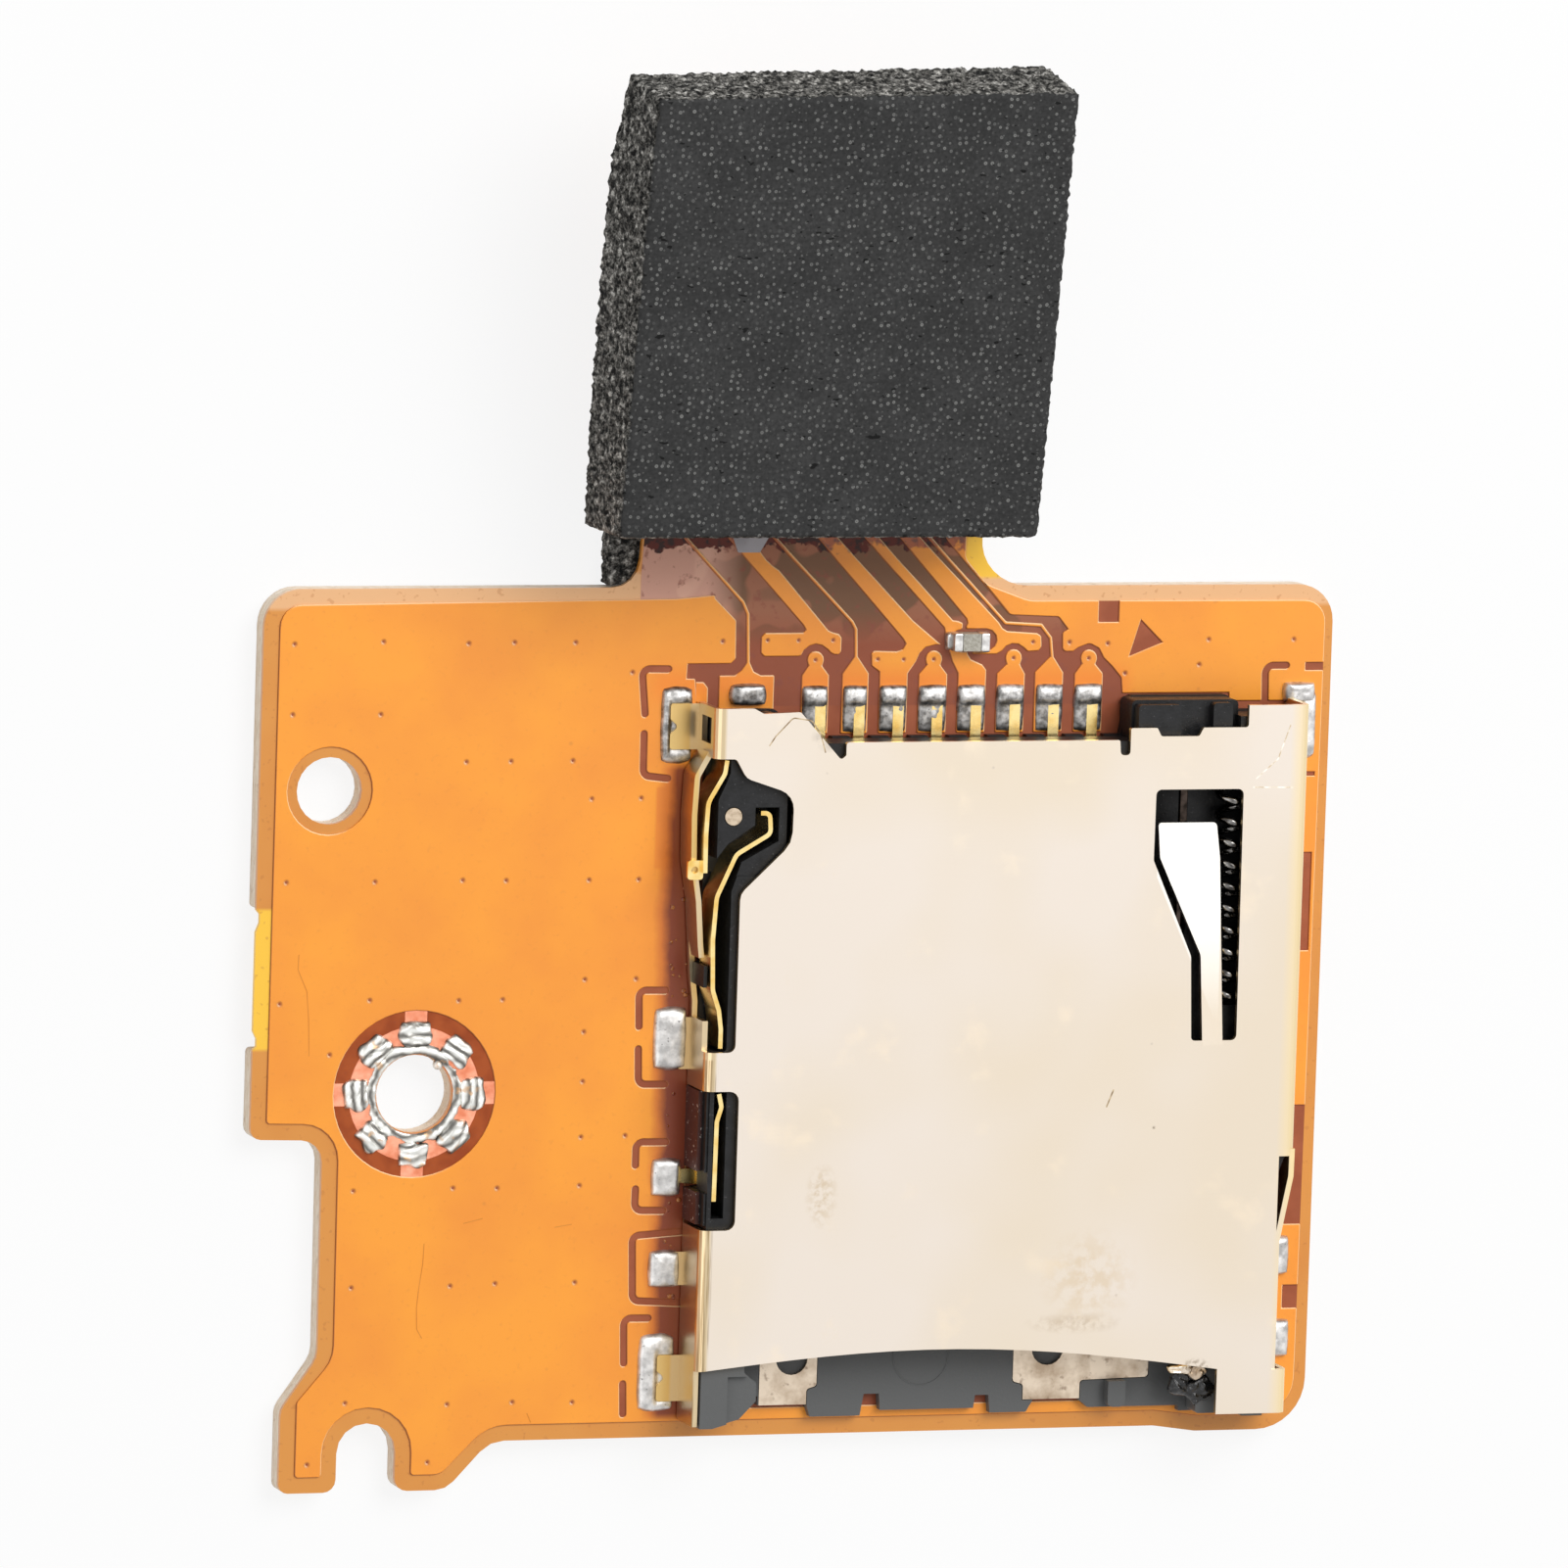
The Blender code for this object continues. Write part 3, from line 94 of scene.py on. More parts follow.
def cleanMesh(piece, distance=0.002):
    activate(piece)
    bpy.ops.object.mode_set(mode="EDIT")
    bpy.ops.mesh.select_all(action="SELECT")
    bpy.ops.mesh.remove_doubles(threshold=distance)
    bpy.ops.mesh.normals_make_consistent(inside=False)
    bpy.ops.object.mode_set(mode="OBJECT")


def flatShape(name, outline, low, high, material=None):
    # a filled circle whose corners are moved to the outline, then extruded
    deselectAll()
    bpy.ops.mesh.primitive_circle_add(vertices=len(outline), radius=1, fill_type="NGON")
    piece = namePiece(name, material)
    for vert, point in zip(piece.data.vertices, outline):
        vert.co = (point[0], point[1], low)
    bpy.ops.object.mode_set(mode="EDIT")
    bpy.ops.mesh.select_all(action="SELECT")
    bpy.ops.mesh.extrude_region_move(TRANSFORM_OT_translate={"value": (0, 0, high - low)})
    bpy.ops.mesh.select_all(action="SELECT")
    bpy.ops.mesh.normals_make_consistent(inside=False)
    bpy.ops.object.mode_set(mode="OBJECT")
    return piece


def joinPieces(pieces):
    activate(pieces[0])
    for piece in pieces[1:]:
        piece.select_set(True)
    bpy.ops.object.join()
    return bpy.context.active_object


def applyModifier(piece, kind, settings):
    activate(piece)
    modifier = piece.modifiers.new("Step", kind)
    for key, value in settings.items():
        setattr(modifier, key, value)
    bpy.ops.object.modifier_apply(modifier=modifier.name)


def cutAway(piece, cutter):
    settings = {"object": cutter, "operation": "DIFFERENCE", "solver": "EXACT", "use_self": True}
    applyModifier(piece, "BOOLEAN", settings)
    bpy.data.objects.remove(cutter)


def bevelEdges(piece, width, segments=2, limited=True):
    settings = {"width": width, "segments": segments, "use_clamp_overlap": limited}
    applyModifier(piece, "BEVEL", {"limit_method": "ANGLE", "angle_limit": math.radians(40), **settings})


def pitCutters(centres, floorRadius, rimRadius, top):
    # cones from just over the board to just over the top, wider there, that leave dimples when cut away
    floor, rim = boardTop + 0.01, top + 0.004
    cones = []
    for x, y in centres:
        deselectAll()
        settings = {"radius1": floorRadius, "radius2": rimRadius, "depth": rim - floor}
        bpy.ops.mesh.primitive_cone_add(vertices=12, location=(x, y, (rim + floor) / 2), **settings)
        cones.append(namePiece("pit"))
    return joinPieces(cones)


def squashRelief(piece, modelled, height):
    # relief is modelled tall, so that its bevel can be wide, and then pressed down to its real height
    for vert in piece.data.vertices:
        vert.co.z = boardTop + (vert.co.z - boardTop) * height / modelled


def smoothFaces(piece):
    # large flat faces keep their own normals, and narrow slopes blend into them
    activate(piece)
    bpy.ops.object.shade_smooth()
    applyModifier(piece, "WEIGHTED_NORMAL", {"mode": "FACE_AREA", "weight": 50})


def bendTail(piece):
    # cut the mesh along the bend's steps, then curl it as the film is curled
    length = bend["radius"] * bend["slope"]
    activate(piece)
    bpy.ops.object.mode_set(mode="EDIT")
    for k in range(bend["steps"] + 1):
        y = bend["start"] + length * k / bend["steps"]
        bpy.ops.mesh.select_all(action="SELECT")
        bpy.ops.mesh.bisect(plane_co=(0, y, 0), plane_no=(0, 1, 0), threshold=0.0005)
    bpy.ops.object.mode_set(mode="OBJECT")
    for vert in piece.data.vertices:
        along = vert.co.y - bend["start"]
        if along <= 0:
            continue
        angle = min(along, length) / bend["radius"]
        straight = max(0.0, along - length)
        radius = bend["radius"] - (vert.co.z - bend["middle"])
        vert.co.y = bend["start"] + radius * math.sin(angle) + straight * math.cos(angle)
        vert.co.z = bend["middle"] + bend["radius"] - radius * math.cos(angle) + straight * math.sin(angle)


def finishPiece(piece, body):
    # from millimetres to metres, with the object's place in its mesh
    activate(piece)
    bpy.ops.object.transform_apply(location=True, rotation=True, scale=True)
    piece.scale = (mm, mm, mm)
    bpy.ops.object.transform_apply(location=True, rotation=True, scale=True)
    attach(piece, body)
    return piece


def copyNode(name, nodeName):
    # a node's loose triangles as one mesh of its own, in millimetres
    piece = bpy.data.objects.new(name, nodes[nodeName].data.copy())
    piece.data.name = name
    bpy.context.scene.collection.objects.link(piece)
    piece.data.transform(Matrix.Scale(1 / mm, 4))
    cleanMesh(piece)
    return piece


# Outlines

def roundCorners(corners, closed=True):
    # (x, y, radius) corners to outline points, each radius as an arc
    points = []
    last = len(corners) - 1
    for k, (x, y, radius) in enumerate(corners):
        here = Vector((x, y))
        if radius == 0 or (not closed and k in (0, last)):
            points.append(here)
            continue
        before = (Vector(corners[k - 1][:2]) - here).normalized()
        after = (Vector(corners[(k + 1) % len(corners)][:2]) - here).normalized()
        half = before.angle(after) / 2
        reach = radius / math.tan(half)
        centre = here + (before + after).normalized() * radius / math.sin(half)
        first = here + before * reach - centre
        final = here + after * reach - centre
        start = math.atan2(first.y, first.x)
        turn = (math.atan2(final.y, final.x) - start + math.pi) % (2 * math.pi) - math.pi
        steps = max(2, math.ceil(abs(turn) / math.radians(15)))
        for n in range(steps + 1):
            angle = start + turn * n / steps
            points.append(centre + radius * Vector((math.cos(angle), math.sin(angle))))
    return points


def strokeOutline(points, width, rounding=0.15):
    # a path as the outline of a stroke with round ends
    path = roundCorners([(x, y, rounding) for x, y in points], closed=False)
    path = [p for k, p in enumerate(path) if k == 0 or (p - path[k - 1]).length > 0.003]
    half = width / 2
    left, right = [], []
    for k, here in enumerate(path):
        before = (here - path[k - 1]).normalized() if k else None
        after = (path[k + 1] - here).normalized() if k < len(path) - 1 else None
        forward = ((before or after) + (after or before)).normalized()
        stretch = half / max(0.5, forward.dot(after or before))
        side = Vector((-forward.y, forward.x)) * stretch
        left.append(here + side)
        right.append(here - side)
    caps = []
    for tip, other in ((path[-1], path[-2]), (path[0], path[1])):
        way = (tip - other).normalized()
        side = Vector((-way.y, way.x))
        cap = []
        for n in range(1, 6):
            angle = math.pi * n / 6
            cap.append(tip + half * (side * math.cos(angle) + way * math.sin(angle)))
        caps.append(cap)
    return left + caps[0] + right[::-1] + caps[1]


def circleOutline(centre, radius, sides=12, start=0.0, turn=2 * math.pi):
    steps = sides if turn >= 2 * math.pi else sides + 1
    angles = [start + turn * n / sides for n in range(steps)]
    return [(centre[0] + radius * math.cos(a), centre[1] + radius * math.sin(a)) for a in angles]


# Materials

def addNode(tree, kind, settings=None, links=None):
    node = tree.nodes.new("ShaderNode" + kind)
    for key, value in (settings or {}).items():
        if key == "stops":
            ramp = node.color_ramp.elements
            while len(ramp) < len(value):
                ramp.new(0.5)
            for element, (place, colour) in zip(ramp, value):
                element.position = place
                element.color = srgb(colour)
        elif isinstance(key, str) and hasattr(node, key):
            setattr(node, key, value)
        else:
            node.inputs[key].default_value = value
    for key, source in (links or {}).items():
        tree.links.new(source, node.inputs[key])
    return node


def startMaterial(name, colour, roughness, metallic=0.0, ior=None):
    # returns the material, its tree, its shader and object coordinates in millimetres
    material = bpy.data.materials.new(name)
    material.use_nodes = True
    tree = material.node_tree
    shader = tree.nodes["Principled BSDF"]
    shader.inputs["Base Color"].default_value = srgb(colour)
    shader.inputs["Roughness"].default_value = roughness
    shader.inputs["Metallic"].default_value = metallic
    if ior:
        shader.inputs["IOR"].default_value = ior
    material.diffuse_color = srgb(colour)
    place = addNode(tree, "TexCoord")
    scaled = addNode(tree, "Mapping", {"Scale": (1 / mm,) * 3}, {"Vector": place.outputs["Object"]})
    return material, tree, shader, scaled.outputs[0]


def layColours(tree, colour, layers):
    # each layer's tone covers what lies below it by its share; a colour is an sRGB code or a socket
    for share, tone in layers:
        mix = addNode(tree, "Mix", {"data_type": "RGBA"}, {0: share})
        for index, value in ((6, colour), (7, tone)):
            if isinstance(value, str):
                mix.inputs[index].default_value = srgb(value)
            else:
                tree.links.new(value, mix.inputs[index])
        colour = mix.outputs[2]
    return colour


def patches(tree, place, period, low, high, detail=2.0, roughness=0.5, bottom=0.0, top=1.0):
    # a share from bottom to top, as noise of this period in millimetres goes from low to high
    settings = {"Scale": 1 / period, "Detail": detail, "Roughness": roughness}
    pattern = addNode(tree, "TexNoise", settings, {"Vector": place}).outputs[0]
    return addNode(tree, "MapRange", {1: low, 2: high, 3: bottom, 4: top}, {0: pattern}).outputs[0]


def dots(tree, place, spacing, inner, outer, most):
    # small round spots, one in each cell of about this spacing
    cells = addNode(tree, "TexVoronoi", {"Scale": 1 / spacing}, {"Vector": place})
    settings = {1: inner, 2: outer, 3: most, 4: 0.0}
    return addNode(tree, "MapRange", settings, {0: cells.outputs["Distance"]}).outputs[0]


def together(tree, shares):
    # where all of these hold
    total = shares[0]
    for share in shares[1:]:
        total = addNode(tree, "Math", {"operation": "MULTIPLY"}, {0: total, 1: share}).outputs[0]
    return total


def boxMask(tree, place, spans, soft=0.02):
    # 1 within all spans (axis, low, high) and 0 outside them, with soft edges
    split = addNode(tree, "SeparateXYZ", None, {"Vector": place})
    shares = []
    for axis, low, high in spans:
        for settings in ({1: low - soft, 2: low + soft}, {1: high - soft, 2: high + soft, 3: 1.0, 4: 0.0}):
            shares.append(addNode(tree, "MapRange", settings, {0: split.outputs[axis]}).outputs[0])
    return together(tree, shares)


def spotMask(tree, place, centre, size):
    # a soft oval from 1 in its middle to 0 at its rim
    (x, y), (wide, long) = centre, size
    settings = {"Location": (-x / wide, -y / long, 0), "Scale": (1 / wide, 1 / long, 0)}
    moved = addNode(tree, "Mapping", settings, {"Vector": place}).outputs[0]
    length = addNode(tree, "VectorMath", {"operation": "LENGTH"}, {0: moved}).outputs["Value"]
    return addNode(tree, "MapRange", {1: 0.35, 2: 1.0, 3: 1.0, 4: 0.0}, {0: length}).outputs[0]


def addRelief(tree, shader, place, period, detail, depth, strength, roughness=0.5):
    # unevenness of the surface, its period and depth in millimetres
    settings = {"Scale": 1 / period, "Detail": detail, "Roughness": roughness}
    pattern = addNode(tree, "TexNoise", settings, {"Vector": place}).outputs[0]
    bump = addNode(tree, "Bump", {"Distance": depth * mm, "Strength": strength}, {"Height": pattern})
    tree.links.new(bump.outputs[0], shader.inputs["Normal"])


def facingUp(tree):
    # 1 on faces that look up, 0 on walls
    turned = addNode(tree, "TexCoord").outputs["Normal"]
    return addNode(tree, "SeparateXYZ", None, {"Vector": turned}).outputs[2]


# Finishes with one pattern over their ground colour. Patches: period, low and high, then detail, roughness,
# bottom and top. Relief: period, detail, depth and strength. Periods and depths are in millimetres.
plainFinishes = {
    # tinned-off copper round the screw hole: salmon metal, brushed by the screw's head
    "bare copper": {
        "ground": "#F6AB8C", "roughness": 0.38, "metallic": 1.0,
        "patches": [((0.3, 0.35, 0.7, 3.0), "#DE8462")], "relief": (0.12, 3.0, 0.01, 0.5),
    },
    # the cover's strip inside the slot: duller, its ground darkened as painted shade of the cover over it,
    # with brown flux stains in patches
    "stained and shaded plated bronze": {
        "ground": "#D6C6B2", "roughness": 0.4, "metallic": 1.0,
        "patches": [
            ((0.9, 0.42, 0.66, 4.0, 0.6), "#A9957F"),
            ((0.25, 0.62, 0.72, 2.0, 0.5, 0.0, 0.6), "#6E5847"),
        ],
        "relief": (0.08, 3.0, 0.004, 0.5),
    },
    # turned pin, plated as the cover is: champagne-grey on its end face
    "plated pin": {
        "ground": "#CBB9A2", "roughness": 0.36, "metallic": 1.0,
        "patches": [((0.12, 0.4, 0.7, 3.0), "#A8957E")], "relief": (0.05, 2.0, 0.003, 0.5),
    },
    # hardened wire under a film of oil, with a narrow shine; its dark grey ground and darker patches are
    # painted shade of the slot
    "coil spring with painted shade": {
        "ground": "#8C8A88", "roughness": 0.16, "metallic": 1.0,
        "patches": [((0.25, 0.4, 0.65, 3.0), "#3E3B39")], "relief": (0.05, 2.0, 0.003, 0.4),
    },
    # the same on the cam pin, browner and darker still, as painted shade under the tongue
    "steel wire with painted shade": {
        "ground": "#4A403A", "roughness": 0.16, "metallic": 1.0,
        "patches": [((0.25, 0.4, 0.65, 3.0), "#28221E")], "relief": (0.05, 2.0, 0.003, 0.4),
    },
    # spring strip with bright gold plating: warm yellow, with orange patches painted on as reflection of the
    # film beside it
    "gold plate": {
        "ground": "#FBE3A0", "roughness": 0.24, "metallic": 1.0,
        "patches": [((0.5, 0.4, 0.7, 3.0), "#EFC46A")], "relief": (0.1, 2.0, 0.004, 0.5),
    },
    # the black polymer where it has broken away: glossy with sharp facets
    "broken liquid crystal polymer": {
        "ground": "#0A0A0B", "roughness": 0.25, "ior": 1.5,
        "patches": [((0.2, 0.4, 0.65, 3.0), "#242426")], "relief": (0.15, 3.0, 0.03, 0.8),
    },
    # fired barium titanate ceramic: matt taupe, slightly grainy
    "capacitor ceramic": {
        "ground": "#B2AEA2", "roughness": 0.5, "ior": 1.7,
        "patches": [((0.08, 0.4, 0.65, 3.0), "#8E887A")], "relief": (0.05, 2.0, 0.004, 0.5),
    },
    # the plating is worn through to the bronze
    "scratch in the plating": {
        "ground": "#8A7458", "roughness": 0.35, "metallic": 1.0,
        "patches": [((0.2, 0.4, 0.6, 3.0), "#C8B494")], "relief": (0.06, 2.0, 0.003, 0.5),
    },
    # painted highlight: bright lines on the plating
    "painted highlight on the plating": {
        "ground": "#FBF6EC", "roughness": 0.35, "metallic": 1.0,
        "patches": [((0.2, 0.4, 0.6, 3.0), "#C8B494")], "relief": (0.06, 2.0, 0.003, 0.5),
    },
    # flux residue, dried: glassy brown drops
    "flux residue": {
        "ground": "#7A2C0E", "roughness": 0.12, "ior": 1.52,
        "patches": [((0.12, 0.4, 0.65, 3.0), "#B8702E")], "relief": (0.07, 2.0, 0.008, 0.6),
    },
}


def makePlainFinish(name):
    finish = plainFinishes[name]
    settings = (finish["ground"], finish["roughness"], finish.get("metallic", 0.0), finish.get("ior"))
    material, tree, shader, place = startMaterial(name, *settings)
    layers = [(patches(tree, place, *pattern), tone) for pattern, tone in finish["patches"]]
    tree.links.new(layColours(tree, finish["ground"], layers), shader.inputs["Base Color"])
    addRelief(tree, shader, place, *finish["relief"])
    return material


film = {
    "border": "#DE9238",
    "borderDark": "#D98A30",
    "borderPink": "#EDB680",
    # brighter yellow, painted light coming through the film
    "thin": "#FFC834",
    "speck": "#B86A22",
    "roughness": 0.32,
    "ior": 1.65,
}


def makePolyimideFilm():
    # polyimide film, rolled and glued down: clear amber with a soft gloss and a slight ripple from the glue
    name = "polyimide film"
    material, tree, shader, place = startMaterial(name, film["border"], film["roughness"], ior=film["ior"])
    layers = [
        (patches(tree, place, 2.6, 0.42, 0.66), film["borderDark"]),
        # along the rear edge the glue lies thin and the border turns pinkish
        (boxMask(tree, place, ((1, 8.66, 9.6),), 0.06), film["borderPink"]),
        # painted light: a brighter yellow where light would come through the film with no stiffener under
        # it, in the recess on the left and along the neck's right edge
        (boxMask(tree, place, ((0, -19.6, -18.86), (1, -3.1, 0.66)), 0.05), film["thin"]),
        (boxMask(tree, place, ((0, 0.12, 1.6), (1, 9.42, 11.5)), 0.05), film["thin"]),
        (patches(tree, place, 0.16, 0.66, 0.72, 1.0, top=0.35), film["speck"]),
    ]
    tree.links.new(layColours(tree, film["border"], layers), shader.inputs["Base Color"])
    addRelief(tree, shader, place, 0.8, 2.0, 0.01, 0.5)
    return material


def rustEdge(tree, place, low, high, tones):
    # a layer of rust-coloured flux at the foam's edge, ragged by noise
    along = addNode(tree, "SeparateXYZ", None, {"Vector": place}).outputs[1]
    ragged = addNode(tree, "TexNoise", {"Scale": 1 / 0.35, "Detail": 3.0}, {"Vector": place}).outputs[0]
    shifted = addNode(tree, "Math", {"operation": "ADD"}, {0: along, 1: ragged}).outputs[0]
    share = addNode(tree, "MapRange", {1: low, 2: high}, {0: shifted}).outputs[0]
    return share, layColours(tree, tones[0], [(patches(tree, place, 0.2, 0.45, 0.6), tones[1])])


copper = {
    "top": "#FFA22A",
    "topDark": "#F6962A",
    # painted highlight and painted shade for the slopes of the copper's edges
    "lit": "#FFD9A4",
    "shaded": "#A2561E",
    "roughness": 0.38,
    "ior": 1.6,
    # flux stains along the socket's left wall, with painted shade of the wall in their dark brown: from, to
    # and colour
    "wallStainsAndShade": [(-8.05, -7.8, "#DE7A20"), (-7.8, -7.56, "#86340A")],
}


def makeCopperUnderFilm():
    # copper foil under amber film: even orange, with painted light and shade on the slopes of its edges
    material, tree, shader, place = startMaterial(
        "copper under film", copper["top"], copper["roughness"], ior=copper["ior"]
    )
    layers = [
        (patches(tree, place, 3.2, 0.35, 0.65, 3.0), copper["topDark"]),
        (patches(tree, place, 0.14, 0.6, 0.78, 2.0, 0.6, top=0.30), "#E48A2A"),
        (dots(tree, place, 1.3, 0.02, 0.06, 0.45), "#D9822C"),
        # flux has stained the front of the contact pads; the strip along the left wall is dark brown from
        # flux and from painted shade of the wall
        (boxMask(tree, place, ((0, -8.5, 4.9), (1, 6.2, 6.95)), 0.25), "#F88C1E"),
        (boxMask(tree, place, ((0, -8.35, -7.8), (1, 1.65, 3.85)), 0.04), "#F08C24"),
    ]
    ragged = addNode(tree, "TexNoise", {"Scale": 1 / 1.1, "Detail": 4.0}, {"Vector": place}).outputs[0]
    split = addNode(tree, "SeparateXYZ", None, {"Vector": place})
    settings = {"operation": "MULTIPLY_ADD", 1: 0.5}
    shifted = addNode(tree, "Math", settings, {0: ragged, 2: split.outputs[0]}).outputs[0]
    beside = boxMask(tree, place, ((0, -9.0, -7.0), (1, -13.2, 4.4)), 0.1)
    for low, high, tone in copper["wallStainsAndShade"]:
        share = addNode(tree, "MapRange", {1: low, 2: high}, {0: shifted}).outputs[0]
        layers.append((together(tree, [share, beside]), tone))
    layers.append(rustEdge(tree, place, 10.72, 10.86, ("#A8501C", "#5A1E0C")))
    # painted shade: the vias' walls and the foot of every edge are painted darker
    settings = {1: boardTop + 0.012, 2: reliefTop - 0.004, 3: 0.75, 4: 0.0}
    pit = addNode(tree, "MapRange", settings, {0: split.outputs[2]}).outputs[0]
    level = boxMask(tree, place, ((1, -20.0, 9.2),), 0.1)
    layers.append((together(tree, [pit, level]), "#A8581E"))
    # painted light and shade by which way a face leans: slopes facing +x and +y are painted paler, those
    # facing the other way darker
    turned = addNode(tree, "TexCoord").outputs["Normal"]
    settings = {"operation": "DOT_PRODUCT", 1: (0.8, 0.6, 0.0)}
    leaning = addNode(tree, "VectorMath", settings, {0: turned}).outputs["Value"]
    lit = addNode(tree, "MapRange", {1: 0.06, 2: 0.34, 4: 0.85}, {0: leaning}).outputs[0]
    shaded = addNode(tree, "MapRange", {1: -0.34, 2: -0.06, 3: 0.9, 4: 0.0}, {0: leaning}).outputs[0]
    layers += [(lit, copper["lit"]), (shaded, copper["shaded"])]
    tree.links.new(layColours(tree, copper["top"], layers), shader.inputs["Base Color"])
    addRelief(tree, shader, place, 0.5, 3.0, 0.006, 0.5)
    return material


def makeEtchedFilm(name, main, other, period=0.9):
    # film over bare laminate, where the copper was etched away: matt brown, seen through the amber
    material, tree, shader, place = startMaterial(name, main, 0.4, ior=1.35)
    layers = [
        (patches(tree, place, period, 0.40, 0.62), other),
        (patches(tree, place, 0.09, 0.62, 0.75, top=0.3), "#8A4A38"),
    ]
    tree.links.new(layColours(tree, main, layers), shader.inputs["Base Color"])
    addRelief(tree, shader, place, 0.25, 2.0, 0.006, 0.5)
    return material


def makeNeckFilm():
    # film on the neck: mauve with grey-brown patches, and a rusty line of flux at the foam's edge
    material, tree, shader, place = startMaterial("etched film on the neck", "#BC8470", 0.4, ior=1.35)
    left = boxMask(tree, place, ((0, -9.5, -6.6),), 0.5)
    bare = layColours(tree, "#A26A50", [(left, "#E2B09A")])
    dark = layColours(tree, "#7C5840", [(left, "#D8A490")])
    layers = [
        (patches(tree, place, 1.5, 0.48, 0.51, 1.0), dark),
        (boxMask(tree, place, ((1, 4.0, 8.1),), 0.5), "#96523A"),
        (patches(tree, place, 0.28, 0.60, 0.70, 3.0, top=0.7), "#8E5040"),
        rustEdge(tree, place, 10.74, 10.80, ("#5A1E10", "#2A100A")),
    ]
    tree.links.new(layColours(tree, bare, layers), shader.inputs["Base Color"])
    addRelief(tree, shader, place, 0.3, 2.0, 0.01, 0.6)
    return material


def makeSolder(name, bright, dark, period=0.3):
    # lead-free solder, cooled from melt: satin grey, clouded partly by its grain and partly by painted
    # reflection, with a few small dark pits
    material, tree, shader, place = startMaterial(name, bright, 0.42, 1.0)
    layers = [
        (patches(tree, place, period, 0.38, 0.62, 4.0, 0.6), bright),
        (patches(tree, place, 0.13, 0.68, 0.74, top=0.7), "#5A5856"),
    ]
    tree.links.new(layColours(tree, dark, layers), shader.inputs["Base Color"])
    dull = patches(tree, place, period, 0.3, 0.7, 4.0, 0.6, 0.34, 0.5)
    tree.links.new(dull, shader.inputs["Roughness"])
    addRelief(tree, shader, place, 0.14, 3.0, 0.008, 0.6)
    return material


# ridges round the hole, painted in light and dark tones; the distortion breaks them up, and the stops run
# from painted shade on a groove's floor to a painted highlight on a ridge's top
pressed = {
    "waves": {"Scale": 1.1, "Distortion": 7.0, "Detail": 3.0, "Detail Scale": 0.8},
    "stops": [(0.0, "#6E6C68"), (0.25, "#A3A19C"), (0.6, "#D2D1CC"), (0.95, "#ECECE8")],
    "depth": 0.02,
}


def makePressedSolder():
    # solder that a screw's head has dragged round the hole: painted highlights on its ridges, with painted
    # shade in the grooves between them
    material, tree, shader, place = startMaterial("solder pressed by a screw", "#E8E8E4", 0.45, 1.0)
    settings = {"Location": (-screwHole[0], -screwHole[1], 0)}
    centred = addNode(tree, "Mapping", settings, {"Vector": place}).outputs[0]
    settings = {"wave_type": "RINGS", "rings_direction": "Z", **pressed["waves"]}
    ridges = addNode(tree, "TexWave", settings, {"Vector": centred}).outputs[1]
    colour = addNode(tree, "ValToRGB", {"stops": pressed["stops"]}, {"Fac": ridges}).outputs[0]
    ochre = patches(tree, place, 0.4, 0.60, 0.68, top=0.6)
    tree.links.new(layColours(tree, colour, [(ochre, "#C79A6A")]), shader.inputs["Base Color"])
    settings = {"Distance": pressed["depth"] * mm, "Strength": 0.5}
    bump = addNode(tree, "Bump", settings, {"Height": ridges})
    tree.links.new(bump.outputs[0], shader.inputs["Normal"])
    return material


cover = {
    "plate": "#E9DED2",
    "warm": "#E6D8C4",
    "grime": "#C9BCAE",
    "roughness": 0.30,
    # place, half width and half length, period of the pattern, colour and strength
    "marks": [
        ((-4.08, 5.36), (0.55, 0.42), 0.35, "#8F8478", 0.55),
        ((-3.9, -7.0), (0.5, 0.95), 0.2, "#CBB594", 0.6),
        ((3.4, -10.6), (1.5, 0.32), 0.25, "#BCA68A", 0.45),
        ((3.75, -9.4), (1.5, 1.5), 0.4, "#D9C2A0", 0.5),
        ((5.47, -5.3), (0.07, 0.07), 0.1, "#8A7A66", 0.9),
        ((6.9, -11.9), (0.5, 0.3), 0.12, "#7E6A52", 0.8),
    ],
}


def tongueMask(tree, place):
    # the sprung tongue's painted highlight; its left edge runs askew, and the highlight is brightest towards
    # its bend
    split = addNode(tree, "SeparateXYZ", None, {"Vector": place})
    behind = addNode(tree, "Math", {"operation": "MINIMUM", 1: 1.5}, {0: split.outputs[1]}).outputs[0]
    settings = {"operation": "MULTIPLY_ADD", 1: 0.46}
    askew = addNode(tree, "Math", settings, {0: behind, 2: split.outputs[0]}).outputs[0]
    shares = [boxMask(tree, place, ((0, 5.3, 7.2), (1, -3.1, 3.1)), 0.01)]
    for low, high, source in ((5.98, 6.02, askew), (-2.4, 0.0, split.outputs[1])):
        shares.append(addNode(tree, "MapRange", {1: low, 2: high}, {0: source}).outputs[0])
    return together(tree, shares)


